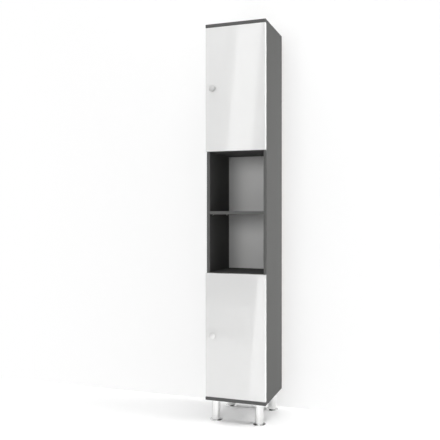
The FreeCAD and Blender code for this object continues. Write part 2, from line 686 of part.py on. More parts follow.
def make_bracket():
    """Steel angle under the top panel that ties the cabinet to the wall."""
    upright = box(("-bracket_width / 2", f"{BACK} - bracket_sheet", f"{TOP} - bracket_leg"),
                  ("bracket_width", "bracket_sheet", "bracket_leg"))
    level = box(("-bracket_width / 2", f"{BACK} - bracket_leg", f"{TOP} - bracket_sheet"),
                ("bracket_width", "bracket_leg", "bracket_sheet"))
    through = "bracket_sheet + 2 * run"
    tools = [rod(("0", f"{BACK} - bracket_sheet - run", WALL_HOLE_Z), "wall_hole", through, ALONG_Y)]
    for spot in bracket_screw_spots(f"{TOP} - bracket_sheet - run"):
        tools.append(rod(spot, "bracket_screw + 2 * screw_play", through))
    keep("wall_bracket", cut(fused([upright, level]), tools))
    screw = wood_screw("BracketScrew", "bracket_screw", "bracket_screw_length")
    several("wall_bracket_screws", screw,
            [(spot, ALONG_Z) for spot in bracket_screw_spots(f"{TOP} - bracket_sheet")])


# ---- Legs -----------------------------------------------------------------------------------------------

def leg_screw_spots(x, y, z):
    """Four screws in a square over the middle of a leg."""
    half = "leg_screw_spacing / 2"
    return [(f"{x} {across} {half}", f"{y} {back} {half}", z) for across in "-+" for back in "-+"]


def leg_screw_holes():
    length = "leg_screw_length - seat_thickness + hole_end + run"
    return [rod(spot, "leg_screw + 2 * thread_play", length)
            for x, y in LEGS.values() for spot in leg_screw_spots(x, y, "leg_height - run")]


def make_leg_seats():
    """A round steel seat over each leg, with its four screws."""
    disc = rod(("0", "0", "-seat_thickness"), "leg_diameter - 2 * (leg_wall + seat_play)", "seat_thickness")
    holes = [rod(spot, "leg_screw + 2 * screw_play", "seat_thickness + 2 * run")
             for spot in leg_screw_spots("0", "0", "-seat_thickness - run")]
    several("leg_seats", cut(disc, holes), [((x, y, "leg_height"), ALONG_Z) for x, y in LEGS.values()])
    screw = wood_screw("LegScrew", "leg_screw", "leg_screw_length")
    several("leg_screws", screw, [(spot, ALONG_Z) for x, y in LEGS.values()
                                  for spot in leg_screw_spots(x, y, "leg_height - seat_thickness")])


def make_legs():
    """A tube, a threaded plug and a foot that screws in and out for each leg."""
    outer = "(leg_diameter / 2)"
    inner = "(leg_diameter / 2 - leg_wall)"
    low = "(foot_thickness + foot_gap)"
    bore = "(stud_diameter / 2 + thread_play)"
    plug_low = f"({low} + plug_lift)"
    plug_high = f"({plug_low} + plug_height)"
    plug = turned("LegPlug", [(bore, plug_low), (inner, plug_low), (inner, plug_high), (bore, plug_high)])
    several("leg_plugs", plug, [((x, y, "0"), ALONG_Z) for x, y in LEGS.values()])

    # The foot has a flat underside, a straight edge and a gently rising top that meets its screw.
    rim = "(foot_diameter / 2)"
    stud = "(stud_diameter / 2)"
    tip = "(foot_thickness + stud_length)"
    for name, (x, y) in LEGS.items():
        tube = turned("LegTube", [(inner, low), (f"{outer} - leg_chamfer", low),
                                  (outer, f"{low} + leg_chamfer"), (outer, "leg_height"),
                                  (inner, "leg_height")])
        keep(f"{name}_leg", at(tube, (x, y, "0")))
        foot = turned("Foot", [("0", "0"), (f"{rim} - foot_chamfer", "0"), (rim, "foot_chamfer"),
                               (rim, "foot_edge"), (f"{outer} + foot_ring", "foot_thickness"),
                               (stud, "foot_thickness"), (stud, f"{tip} - stud_chamfer"),
                               (f"{stud} - stud_chamfer", tip), ("0", tip)])
        keep(f"{name}_foot", at(foot, (x, y, "0")))


# ---- Doors, knobs and pads ------------------------------------------------------------------------------

def make_door(name):
    """A plain slab with two cup bores, the screw holes of the cups and the knob's hole."""
    low, high = DOORS[name]
    size = (f"2 * {DOOR_EDGE}", "door_board", f"{high} - {low}")
    slab = rounded_board((f"-{DOOR_EDGE}", FRONT, low), size, "door_round")
    tools = [rod((KNOB_X, f"{FRONT} - run", f"({low} + {high}) / 2"), "knob_screw + 2 * screw_play",
                 "door_board + 2 * run", ALONG_Y)]
    for height in door_hinges(name):
        tools.append(rod((CUP_X, f"{DOOR_BACK} - cup_depth - cup_play", height), "cup_diameter",
                         "cup_depth + cup_play + run", ALONG_Y))
        for spot in cup_screw_spots(f"{DOOR_BACK} - cup_screw_bite - hole_end", height):
            tools.append(rod(spot, "hinge_screw + 2 * thread_play",
                             "cup_screw_bite + hole_end + run", ALONG_Y))
    keep(f"{name}_door", cut(slab, tools))


def make_knob(name):
    """A knob with a hollow flare and a slightly domed face, and the screw that holds it through the door."""
    low, high = DOORS[name]
    middle = f"({low} + {high}) / 2"
    neck = "(knob_neck / 2)"
    head = "(knob_diameter / 2)"
    side_top = "(knob_reach - knob_dome)"
    side_foot = f"({side_top} - knob_side)"
    bore = "(knob_screw / 2 + thread_play)"
    dome_radius = f"({head}^2 + knob_dome^2) / (2 * knob_dome)"
    knob = turned("Knob", [(bore, "0"), (neck, "0"), (neck, "knob_neck_rise"),
                           (head, side_foot, "knob_flare", -1), (head, side_top),
                           ("0", "knob_reach", dome_radius, 1), ("0", "knob_bore_depth"),
                           (bore, "knob_bore_depth")])
    keep(f"{name}_knob", at(knob, (KNOB_X, FRONT, middle), AGAINST_Y))
    screw = wood_screw("KnobScrew", "knob_screw", "(door_board + knob_bore_depth - knob_screw / 2)")
    keep(f"{name}_knob_screw", at(screw, (KNOB_X, DOOR_BACK, middle), AGAINST_Y))


def make_pads(name, pad):
    """Soft pads at the free edge of a door, which meet the carcass when it closes."""
    low, high = DOORS[name]
    several(f"{name}_door_pads", pad, [((f"-{DOOR_EDGE} + pad_inset", DOOR_BACK, z), ALONG_Y)
                                       for z in (f"{low} + pad_end", f"{high} - pad_end")])


def make_doors():
    radius = "(pad_diameter / 2)"
    rise = "(door_clearance - pad_gap)"
    pad = turned("Pad", [("0", "0"), (radius, "0"), (radius, f"{rise} - pad_chamfer"),
                         (f"{radius} - pad_chamfer", rise), ("0", rise)])
    for name in DOORS:
        make_door(name)
        make_knob(name)
        make_pads(name, pad)


# ---- Hinges ---------------------------------------------------------------------------------------------
# Each concealed hinge has a cup in the door, a link on two pins, and an arm on a mounting plate. They are
# drawn at height zero and raised to the height of their hinge.

RAIL_Y = f"({EDGE} + plate_line)"
RAIL_RISE = "(arm_rise - arm_sheet)"
ARM_SCREW_ROWS = (f"{RAIL_Y} - arm_screw_spacing / 2", f"{RAIL_Y} + arm_screw_spacing / 2")
CHANNEL_HALF = "(link_width / 2 + arm_gap)"
ARM_PIN_HALF = f"({CHANNEL_HALF} + arm_sheet)"
CUP_INNER = "(cup_diameter / 2 - cup_play - cup_wall)"
CUP_PIN_OFF = "(cup_edge + cup_diameter / 2 - cup_pin_edge)"
CUP_PIN_HALF = f"(sqrt({CUP_INNER}^2 - ({CUP_PIN_OFF} + hinge_pin / 2)^2) + cup_pin_bite)"


def door_hinges(door):
    """The heights of one door's hinges."""
    return [height for name, height in HINGES.items() if name.startswith(door)]


def cup_screw_spots(y, height):
    return [(f"{CUP_X} - cup_screw_offset", y, f"{height} {sign} cup_screw_spacing / 2") for sign in "-+"]


def plate_screw_spots(x, height):
    return [(x, RAIL_Y, f"{height} {sign} plate_screw_spacing / 2") for sign in "-+"]


def plate_screw_holes():
    length = "plate_screw_length - plate_thickness + hole_end + run"
    return [rod(spot, "hinge_screw + 2 * thread_play", length, ALONG_X)
            for height in HINGES.values() for spot in plate_screw_spots(f"{SIDE} - run", height)]


def make_cup():
    """A pressed cup with a flange and two wings, and a seat for the cup's pin."""
    floor = f"{DOOR_BACK} - cup_depth"
    wing_x = f"({CUP_X} - cup_screw_offset)"
    pieces = [rod((CUP_X, floor, "0"), "cup_diameter - 2 * cup_play", "cup_depth", ALONG_Y),
              rod((CUP_X, DOOR_BACK, "0"), "cup_diameter + 2 * flange_margin", "flange_thickness", ALONG_Y),
              box((f"{wing_x} - wing_width / 2", DOOR_BACK, "-cup_screw_spacing / 2"),
                  ("wing_width", "flange_thickness", "cup_screw_spacing"))]
    for spot in cup_screw_spots(DOOR_BACK, "0"):
        pieces.append(rod(spot, "wing_width", "flange_thickness", ALONG_Y))
    tools = [rod((CUP_X, f"{floor} + cup_wall", "0"), f"2 * {CUP_INNER}",
                 "cup_depth + flange_thickness + run", ALONG_Y),
             rod((*CUP_PIN, f"-{CUP_PIN_HALF}"), "hinge_pin + 2 * pin_play", f"2 * {CUP_PIN_HALF}")]
    for spot in cup_screw_spots(f"{DOOR_BACK} - run", "0"):
        tools.append(rod(spot, "hinge_screw + 2 * screw_play", "flange_thickness + 2 * run", ALONG_Y))
    return cut(fused(pieces), tools)


def make_link():
    """A bent strip with an eye at each end, one on the cup's pin and one on the arm's pin."""
    low = "-link_width / 2"
    elbow = (f"({CUP_PIN[0]} - link_elbow_in)", f"({CUP_PIN[1]} - link_elbow_deep)")
    pieces = [strip(CUP_PIN, elbow, low, "link_sheet", "link_width"),
              strip(elbow, ARM_PIN, low, "link_sheet", "link_width")]
    for place, diameter in ((CUP_PIN, "barrel"), (elbow, "link_sheet"), (ARM_PIN, "barrel")):
        pieces.append(rod((*place, low), diameter, "link_width"))
    holes = [rod((*place, f"{low} - run"), "hinge_pin + 2 * pin_play", "link_width + 2 * run")
             for place in (CUP_PIN, ARM_PIN)]
    return cut(fused(pieces), holes)


def make_arm():
    """A channel over the rail of the mounting plate, with two ears that reach forward to the arm's pin."""
    pin_x, pin_y = ARM_PIN
    radius = "(barrel / 2)"
    web = f"({SIDE} - arm_rise)"
    rim = f"({SIDE} - plate_thickness - arm_lift)"
    front = f"({EDGE} + arm_front)"
    rear = f"({front} + arm_length)"
    nose = f"({pin_y} - {radius})"
    flanks = padded("HingeArm", [(web, rear), (web, front), (f"{pin_x} - {radius}", pin_y),
                                 (pin_x, nose, radius, 1), (f"{pin_x} + {radius}", pin_y, radius, 1),
                                 (rim, front), (rim, rear)], f"2 * {ARM_PIN_HALF}")
    at(flanks, ("0", "0", f"-{ARM_PIN_HALF}"))
    channel = box((f"{web} + arm_sheet", f"{nose} - run", f"-{CHANNEL_HALF}"),
                  ("arm_rise", f"{rear} - {nose} + 2 * run", f"2 * {CHANNEL_HALF}"))
    mouth = box((f"{pin_x} - barrel", f"{nose} - run", f"-{CHANNEL_HALF}"),
                (f"{SIDE} - {pin_x} + barrel", f"{front} - {nose} + run", f"2 * {CHANNEL_HALF}"))
    pin_hole = rod((*ARM_PIN, f"-{ARM_PIN_HALF} - run"), "hinge_pin", f"2 * ({ARM_PIN_HALF} + run)")
    tools = [channel, mouth, pin_hole]
    for y in ARM_SCREW_ROWS:
        tools.append(rod((f"{web} - run", y, "0"), "hinge_screw + 2 * screw_play", "arm_sheet + 2 * run",
                         ALONG_X))
    return cut(flanks, tools)


def make_plate():
    """Mounting plate: two wings screwed to the side board and a rail for the arm."""
    wings = box((f"{SIDE} - plate_thickness", f"{RAIL_Y} - plate_breadth / 2", "-plate_span / 2"),
                ("plate_thickness", "plate_breadth", "plate_span"))
    rail = box((f"{SIDE} - {RAIL_RISE}", f"{RAIL_Y} - rail_length / 2", "-rail_width / 2"),
               (RAIL_RISE, "rail_length", "rail_width"))
    tools = [rod(spot, "hinge_screw + 2 * screw_play", "plate_thickness + 2 * run", ALONG_X)
             for spot in plate_screw_spots(f"{SIDE} - plate_thickness - run", "0")]
    for y in ARM_SCREW_ROWS:
        tools.append(rod((f"{SIDE} - {RAIL_RISE} - run", y, "0"), "hinge_screw + 2 * thread_play",
                         "arm_screw_length - arm_sheet + hole_end + run", ALONG_X))
    return cut(fused([wings, rail]), tools)


def make_hinge_screws():
    cup_screw = wood_screw("CupScrew", "hinge_screw", "(cup_screw_bite + flange_thickness)")
    for door in DOORS:
        several(f"{door}_hinge_cup_screws", cup_screw,
                [(spot, AGAINST_Y) for height in door_hinges(door)
                 for spot in cup_screw_spots(f"{DOOR_BACK} + flange_thickness", height)])
    plate_screw = wood_screw("PlateScrew", "hinge_screw", "plate_screw_length")
    several("hinge_plate_screws", plate_screw,
            [(spot, ALONG_X) for height in HINGES.values()
             for spot in plate_screw_spots(f"{SIDE} - plate_thickness", height)])
    arm_screw = wood_screw("ArmScrew", "hinge_screw", "arm_screw_length")
    several("hinge_arm_screws", arm_screw, [((f"{SIDE} - arm_rise", y, height), ALONG_X)
                                            for height in HINGES.values() for y in ARM_SCREW_ROWS])


def make_hinges():
    for name, height in HINGES.items():
        for piece, make in (("cup", make_cup), ("link", make_link), ("arm", make_arm), ("plate", make_plate)):
            keep(f"{name}_hinge_{piece}", at(make(), ("0", "0", height)))
    arm_pin = rod(("0", "0", "0"), "hinge_pin", f"2 * {ARM_PIN_HALF}")
    several("hinge_arm_pins", arm_pin,
            [((*ARM_PIN, f"{height} - {ARM_PIN_HALF}"), ALONG_Z) for height in HINGES.values()])
    cup_pin = rod(("0", "0", "0"), "hinge_pin", f"2 * {CUP_PIN_HALF}")
    for door in DOORS:
        several(f"{door}_hinge_cup_pins", cup_pin,
                [((*CUP_PIN, f"{height} - {CUP_PIN_HALF}"), ALONG_Z) for height in door_hinges(door)])
    make_hinge_screws()


# ---- Build and write ------------------------------------------------------------------------------------

for make in (make_panels, make_sides, make_shelves, make_back, make_dowels, make_cam_bolts, make_cams,
             make_shelf_pins, make_nails, make_bracket, make_leg_seats, make_legs, make_doors, make_hinges):
    make()
document.recompute()

for item in document.Objects:
    if "Invalid" in item.State or "Error" in item.State:
        raise RuntimeError(f"{item.Name} ({item.Label}) failed: {item.State}")
for name, piece in nodes.items():
    if piece.Shape.isNull() or not piece.Shape.isValid():
        raise RuntimeError(f"{name} has no valid shape")

os.makedirs("parts", exist_ok=True)
for name, piece in nodes.items():
    piece.Shape.exportStep(f"parts/{name}.step")
    print(name, len(piece.Shape.Solids), round(piece.Shape.Volume))
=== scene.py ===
import math

import bmesh
import bpy
from bpy.props import FloatProperty, FloatVectorProperty, IntProperty, PointerProperty
from mathutils import Matrix, Vector


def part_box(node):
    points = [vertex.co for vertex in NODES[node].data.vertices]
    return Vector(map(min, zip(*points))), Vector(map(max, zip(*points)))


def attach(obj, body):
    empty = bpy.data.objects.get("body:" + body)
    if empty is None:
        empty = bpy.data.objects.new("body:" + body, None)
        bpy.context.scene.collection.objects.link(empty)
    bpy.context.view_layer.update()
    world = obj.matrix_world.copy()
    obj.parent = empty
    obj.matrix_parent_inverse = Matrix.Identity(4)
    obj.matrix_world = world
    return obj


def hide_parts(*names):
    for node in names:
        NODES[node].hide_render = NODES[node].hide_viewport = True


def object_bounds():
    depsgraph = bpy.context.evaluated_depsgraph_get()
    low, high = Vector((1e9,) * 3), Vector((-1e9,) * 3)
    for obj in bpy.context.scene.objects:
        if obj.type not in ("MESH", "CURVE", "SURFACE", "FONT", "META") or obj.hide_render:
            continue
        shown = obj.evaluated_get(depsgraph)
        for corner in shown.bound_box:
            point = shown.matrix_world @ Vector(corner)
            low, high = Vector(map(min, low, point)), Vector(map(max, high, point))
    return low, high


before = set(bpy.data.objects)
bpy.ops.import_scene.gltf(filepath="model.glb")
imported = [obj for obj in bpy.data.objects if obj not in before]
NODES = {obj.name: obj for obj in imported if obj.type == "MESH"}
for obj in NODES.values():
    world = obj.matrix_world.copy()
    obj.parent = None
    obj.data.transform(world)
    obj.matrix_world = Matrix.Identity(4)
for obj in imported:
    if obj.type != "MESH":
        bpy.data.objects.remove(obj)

bl_info = {
    "name": "Tall Bathroom Cabinet",
    "version": (1, 0, 0),
    "blender": (4, 5, 0),
    "location": "View3D > Sidebar > Cabinet",
    "description": "Finishes a tall two-door bathroom cabinet and sets up its studio",
    "category": "Object",
}

CAD_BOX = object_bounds()

BOARDS = ("top_panel", "bottom_panel", "left_side", "right_side", "upper_fixed_shelf", "lower_fixed_shelf",
          "niche_shelf", "upper_cupboard_shelf", "lower_cupboard_shelf")
DOORS = ("upper_door", "lower_door")
LEGS = ("front_left", "front_right", "rear_left", "rear_right")

MILLIMETRE = 0.001
MERGE = 1e-6           # corners nearer than this are one corner
ARC_STEPS = 5          # straight steps in a rounded corner of a turned piece
ARC_LEAD = 1.6         # from a corner to the last point of the flat beside it, in its arc's reach
TURN_STEPS = 96        # straight steps round a turned piece
FLARE_STEPS = 10       # straight steps in the profile of a knob's flare
DOME_STEPS = 12        # the same for its dome
TURNED_CREASE = 40     # edges of turned pieces that are sharper than this many degrees stay sharp
FASTENER_CREASE = 35   # the same for fasteners
UPSIDE_DOWN = (math.pi, 0, 0)
X, Y, Z = (Vector(axis) for axis in ((1, 0, 0), (0, 1, 0), (0, 0, 1)))


def rgb(colour):
    return (*colour, 1.0)


WHITE = rgb((1, 1, 1))


# ---- Node trees ----

class Value:
    """The output of a node. Sums on it add Math nodes."""

    def __init__(self, graph, socket):
        self.graph = graph
        self.socket = socket

    def outputs(self):
        """Every output of the same node, by name."""
        return {socket.name: Value(self.graph, socket) for socket in self.socket.node.outputs}

    def __add__(self, other):
        return self.graph.sum("ADD", self, other)

    def __sub__(self, other):
        return self.graph.sum("SUBTRACT", self, other)

    def __rsub__(self, other):
        return self.graph.sum("SUBTRACT", other, self)

    def __mul__(self, other):
        return self.graph.sum("MULTIPLY", self, other)

    def __lt__(self, other):
        return self.graph.sum("LESS_THAN", self, other)

    def __neg__(self):
        return self.graph.sum("SUBTRACT", 0.0, self)

    def __abs__(self):
        return self.graph.sum("ABSOLUTE", self)

    __radd__ = __add__
    __rmul__ = __mul__


class Graph:
    """A shader or geometry node tree that is being built."""

    def __init__(self, tree):
        self.tree = tree

    def node(self, kind, settings=None, sockets=None, output=None):
        """Add a node: settings first, then values or links of its sockets. A list is several links."""
        node = self.tree.nodes.new(kind)
        for key, value in (settings or {}).items():
            setattr(node, key, value)
        for key, given in (sockets or {}).items():
            for value in given if isinstance(given, list) else [given]:
                if isinstance(value, Value):
                    self.tree.links.new(value.socket, node.inputs[key])
                else:
                    node.inputs[key].default_value = value
        if output is None:
            return Value(self, next((socket for socket in node.outputs if socket.enabled), None))
        return Value(self, node.outputs[output])

    def sum(self, operation, first, second=0.0):
        return self.node("ShaderNodeMath", {"operation": operation}, {0: first, 1: second})

    def blend(self, share, first, second):
        """A mix of two colours."""
        return self.node("ShaderNodeMix", {"data_type": "RGBA"}, {0: share, 6: first, 7: second}, 2)

    def ramp(self, value, low, high):
        """How far a value lies from low to high, smoothly."""
        return self.node("ShaderNodeMapRange", {"interpolation_type": "SMOOTHSTEP"},
                         {"Value": value, "From Min": low, "From Max": high})

    def place(self):
        """The point being shaded, in the cabinet's own frame."""
        return self.node("ShaderNodeTexCoord", output="Object")

    def parts(self, point):
        """The three parts of a point."""
        return list(self.node("ShaderNodeSeparateXYZ", {}, {0: point}).outputs().values())

    def rays(self):
        """Whether a ray comes from the camera, from a gloss or through glass."""
        path = self.node("ShaderNodeLightPath").outputs()
        return [path[f"Is {kind} Ray"] for kind in ("Camera", "Glossy", "Transmission")]

    def light(self, kind, strength):
        """A white glow or background."""
        return self.node(kind, {}, {"Color": WHITE, "Strength": strength})


def emptied(owner):
    """The node tree of a new material or world, with nothing in it yet."""
    owner.use_nodes = True
    owner.node_tree.nodes.clear()
    return owner.node_tree


class Surface(Graph):
    """A new material, built from its shaders."""

    def __init__(self, name):
        self.material = bpy.data.materials.new(name)
        super().__init__(emptied(self.material))

    def mixed(self, share, first, second):
        """A mix of two shaders."""
        return self.node("ShaderNodeMixShader", {}, {0: share, 1: first, 2: second})

    def clear(self):
        return self.node("ShaderNodeBsdfTransparent")

    def ended(self, shader):
        """The material, which shows this shader."""
        self.node("ShaderNodeOutputMaterial", {}, {0: shader})
        return self.material


# ---- Materials ----

class Finish(Surface):
    """A new material of the cabinet. Its patterns lie in the cabinet's own frame."""

    def __init__(self, name, colour):
        super().__init__(name)
        self.material.diffuse_color = rgb(colour)
        self.point = self.place()

    def noise(self, size, detail=2.0, roughness=0.5, stretch=(1, 1, 1)):
        """Noise from 0 to 1, whose spots are about as large as the size says."""
        point = self.node("ShaderNodeVectorMath", {"operation": "MULTIPLY"}, {0: self.point, 1: stretch})
        return self.node("ShaderNodeTexNoise", {}, {"Vector": point, "Scale": 1 / size, "Detail": detail,
                                                    "Roughness": roughness}, 0)

    def tinted(self, colour, tone):
        """A colour, lighter or darker by a tone round 1."""
        return self.node("ShaderNodeVectorMath", {"operation": "SCALE"}, {0: tuple(colour), "Scale": tone})

    def made(self, colour, rough, relief, depth, **others):
        """The finished material. Its relief runs from 0 to 1 and stands for a depth in metres."""
        normal = self.node("ShaderNodeBump", {}, {"Height": relief, "Strength": 1.0, "Distance": depth})
        sockets = {key.replace("_", " "): value for key, value in others.items()}
        return self.ended(self.node("ShaderNodeBsdfPrincipled", {},
                                    {"Base Color": colour, "Roughness": rough, "Normal": normal, **sockets}))


def board_material(node, colours, sizes):
    """Graphite melamine: fine mottle and pearl, the edge band's joint near the front, and a band partly
    painted lighter as front light.
    """
    finish = Finish("Graphite " + node.replace("_", " "), colours.graphite)
    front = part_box(node)[0].y
    mottle = finish.noise(0.011, 3.0)
    grain = finish.noise(0.0016)
    stretched = finish.noise(0.02, stretch=(1.0, 1.0, 0.12))
    tone = 0.93 + 0.05 * mottle + 0.04 * grain + 0.05 * stretched
    from_joint = finish.parts(finish.point)[1] - (front + sizes.band)
    is_band = from_joint < 0.0
    joint = abs(from_joint) < sizes.band_joint / 2
    # The edge band's lighter colour is partly its own tone and partly painted light for the brighter front
    # edges.
    face, band = (finish.tinted(colour, tone) for colour in (colours.graphite, colours.edge_band_and_front_light))
    colour = finish.blend(is_band, face, band)
    colour = finish.blend(joint * 0.55, colour, rgb(colours.band_joint))
    pearl = finish.noise(0.0009, 1.0)
    return finish.made(colour, 0.76 + 0.14 * grain - 0.06 * is_band, pearl - 0.6 * joint, 0.00007,
                       IOR=1.47, Specular_IOR_Level=0.05)


def lacquer_material(node, colours):
    """White high gloss lacquer with a faint orange peel; the door's back is satin."""
    finish = Finish("Lacquer " + node.replace("_", " "), colours.lacquer)
    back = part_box(node)[1].y
    along = finish.parts(finish.point)[1]
    is_back = finish.ramp(along, back - 0.8 * MILLIMETRE, back - 0.2 * MILLIMETRE)
    wide = finish.noise(0.09)
    peel = finish.noise(0.006, 1.0)
    fine = finish.noise(0.0015)
    smear = finish.noise(0.05, 4.0, 0.6, (1.0, 1.0, 0.35))
    colour = finish.tinted(colours.lacquer, 0.985 + 0.02 * wide + 0.006 * fine)
    rough = 0.045 + 0.05 * smear + 0.3 * is_back + 0.1 * fine * is_back
    return finish.made(colour, rough, peel + 0.15 * fine, 0.000006, IOR=1.52, Coat_Weight=1.0 - 0.9 * is_back,
                       Coat_Roughness=0.03, Coat_IOR=1.6)


def hardboard_material(node, colours):
    """Thin hardboard: pale grey paint in front, bare pressed fibre behind and on its edges."""
    finish = Finish("Hardboard", colours.paint)
    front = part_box(node)[0].y
    along = finish.parts(finish.point)[1]
    bare = finish.ramp(along, front + 0.3 * MILLIMETRE, front + 0.6 * MILLIMETRE)
    fibre = finish.noise(0.0022, 4.0, 0.65)
    strand = finish.noise(0.006, 3.0, 0.7, (1.0, 1.0, 0.35))
    cloud = finish.noise(0.12, 3.0)
    speck = finish.ramp(finish.noise(0.0035), 0.66, 0.74)
    paint = finish.tinted(colours.paint, 0.975 + 0.03 * cloud + 0.01 * fibre)
    brown = finish.tinted(colours.fibre, 0.62 + 0.34 * fibre + 0.26 * strand + 0.14 * cloud)
    brown = finish.blend(speck * 0.45, brown, rgb(colours.fibre_speck))
    return finish.made(finish.blend(bare, paint, brown), 0.38 + 0.06 * fibre + bare * (0.3 + 0.15 * strand),
                       fibre * bare + 0.15 * fibre, 0.00012, IOR=1.45)


def steel_material(name, colour, rough, size, depth):
    """Plated metal with fine marks and a little uneven gloss."""
    finish = Finish(name, colour)
    marks = finish.noise(size, 3.0, 0.6)
    cloud = finish.noise(0.018)
    return finish.made(finish.tinted(colour, 0.94 + 0.05 * marks + 0.04 * cloud),
                       rough - 0.05 + 0.09 * marks + 0.06 * cloud, marks, depth, Metallic=1.0)


def turned_material(name, colour, rough, pitch, depth):
    """Metal with the fine rings of the lathe, which follow the piece's own profile."""
    finish = Finish(name, colour)
    along = finish.parts(finish.node("ShaderNodeUVMap", {"uv_map": "UVMap"}))[1]
    rings = finish.node("ShaderNodeTexNoise", {"noise_dimensions": "1D"},
                        {"W": along, "Scale": 1 / pitch, "Detail": 2.0}, 0)
    cloud = finish.noise(0.012)
    marks = finish.noise(0.0012)
    return finish.made(finish.tinted(colour, 0.97 + 0.03 * rings + 0.02 * cloud),
                       rough - 0.02 + 0.03 * rings + 0.02 * cloud + 0.02 * marks, rings, depth,
                       Metallic=1.0, IOR=1.5)


def plastic_material(name, colour, rough, clear=0.0):
    """Moulded plastic with a fine spark-eroded texture."""
    finish = Finish(name, colour)
    spark = finish.noise(0.0005)
    cloud = finish.noise(0.008)
    return finish.made(finish.tinted(colour, 0.93 + 0.08 * cloud + 0.04 * spark), rough - 0.04 + 0.08 * spark,
                       spark, 0.00002, IOR=1.49, Transmission_Weight=clear)


def wood_material(colours):
    """Beech with fine pores along the grain."""
    finish = Finish("Beech", colours.beech)
    grain = finish.noise(0.0011, 4.0, 0.6, (0.12, 1.0, 0.12))
    pores = finish.ramp(finish.noise(0.0006, stretch=(0.15, 1.0, 0.15)), 0.6, 0.7)
    colour = finish.blend(0.7 * grain + 0.3 * pores, rgb(colours.beech), rgb(colours.beech_pore))
    return finish.made(colour, 0.6 + 0.15 * grain, grain - 0.4 * pores, 0.00004, IOR=1.45)


# ---- Shapes ----

def islands(node):
    """The lowest and highest corner of each separate solid of a CAD node, from the bottom up."""
    mesh = bmesh.new()
    mesh.from_mesh(NODES[node].data)
    bmesh.ops.remove_doubles(mesh, verts=mesh.verts, dist=MERGE)
    found, seen = [], set()
    for first in mesh.verts:
        if first in seen:
            continue
        seen.add(first)
        group, stack = [], [first]
        while stack:
            vertex = stack.pop()
            group.append(vertex.co.copy())
            for edge in vertex.link_edges:
                other = edge.other_vert(vertex)
                if other not in seen:
                    seen.add(other)
                    stack.append(other)
        found.append((Vector(map(min, *group)), Vector(map(max, *group))))
    mesh.free()
    return sorted(found, key=lambda ends: [round(x, 5) for x in (*ends[0].zxy, *ends[1])])


def paint(piece, material):
    piece.data.materials.clear()
    piece.data.materials.append(material)


def dress(material, *nodes):
    """Give CAD nodes a material."""
    for node in nodes:
        paint(NODES[node], material)


def added(name, data):
    """A new object in the scene."""
    piece = bpy.data.objects.new(name, data)
    bpy.context.scene.collection.objects.link(piece)
    return piece


def new_piece(name, mesh, crease):
    """A mesh as a new object, shaded smooth with its sharper edges kept."""
    mesh.shade_smooth()
    mesh.set_sharp_from_angle(angle=math.radians(crease))
    return added(name, mesh)


def finished(piece, body, slot, material, *replaced):
    """Dress a new piece and let it ride on its body in place of the CAD nodes."""
    paint(piece, material)
    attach(piece, body)
    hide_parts(*replaced)


def rounded(corners):
    """A profile of (radius, height, rounding) corners with each rounded corner as an arc.

    A point before and one after each arc keep the flats beside it flat in smooth shading.
    """
    points = []
    for index, (radius, height, rounding) in enumerate(corners):
        here = Vector((radius, height))
        if not rounding:
            points.append(here)
            continue
        before = (Vector(corners[index - 1][:2]) - here).normalized()
        after = (Vector(corners[(index + 1) % len(corners)][:2]) - here).normalized()
        half = before.angle(after) / 2
        reach = rounding / math.tan(half)
        centre = here + (before + after).normalized() * (rounding / math.sin(half))
        start, end = here + before * reach, here + after * reach
        swing = (start - centre).angle_signed(end - centre)
        points.append(here + before * reach * ARC_LEAD)
        for step in range(ARC_STEPS + 1):
            turn = Matrix.Rotation(-swing * step / ARC_STEPS, 2)
            points.append(centre + turn @ (start - centre))
        points.append(here + after * reach * ARC_LEAD)
    return points


def turned(name, profile, matrix):
    """A closed shape turned about Z. Its profile starts and ends on the axis, or comes back to its start."""
    sides = TURN_STEPS
    mesh = bmesh.new()
    uv = mesh.loops.layers.uv.new("UVMap")
    rings, along = [], [0.0]
    for before, here in zip(profile, profile[1:]):
        along.append(along[-1] + (here - before).length)
    for radius, height in profile:
        if radius < MERGE:
            rings.append([mesh.verts.new((0, 0, height))])
        else:
            rings.append([mesh.verts.new((radius * math.cos(math.tau * k / sides),
                                          radius * math.sin(math.tau * k / sides), height))
                          for k in range(sides)])
    for row, (low, high) in enumerate(zip(rings, rings[1:])):
        for k in range(sides):
            n = (k + 1) % sides
            corners = [(low[k % len(low)], k, row), (low[n % len(low)], k + 1, row),
                       (high[n % len(high)], k + 1, row + 1), (high[k % len(high)], k, row + 1)]
            kept = [c for i, c in enumerate(corners) if c[0] is not corners[i - 1][0]]
            face = mesh.faces.new([c[0] for c in kept])
            for loop, (_, step, ring) in zip(face.loops, kept):
                loop[uv].uv = (step / sides, along[ring])
    bmesh.ops.remove_doubles(mesh, verts=mesh.verts, dist=MERGE)
    bmesh.ops.recalc_face_normals(mesh, faces=mesh.faces)
    mesh.transform(matrix)
    data = bpy.data.meshes.new(name)
    mesh.to_mesh(data)
    mesh.free()
    return new_piece(name, data, TURNED_CREASE)


# ---- Fasteners, made by geometry nodes ----

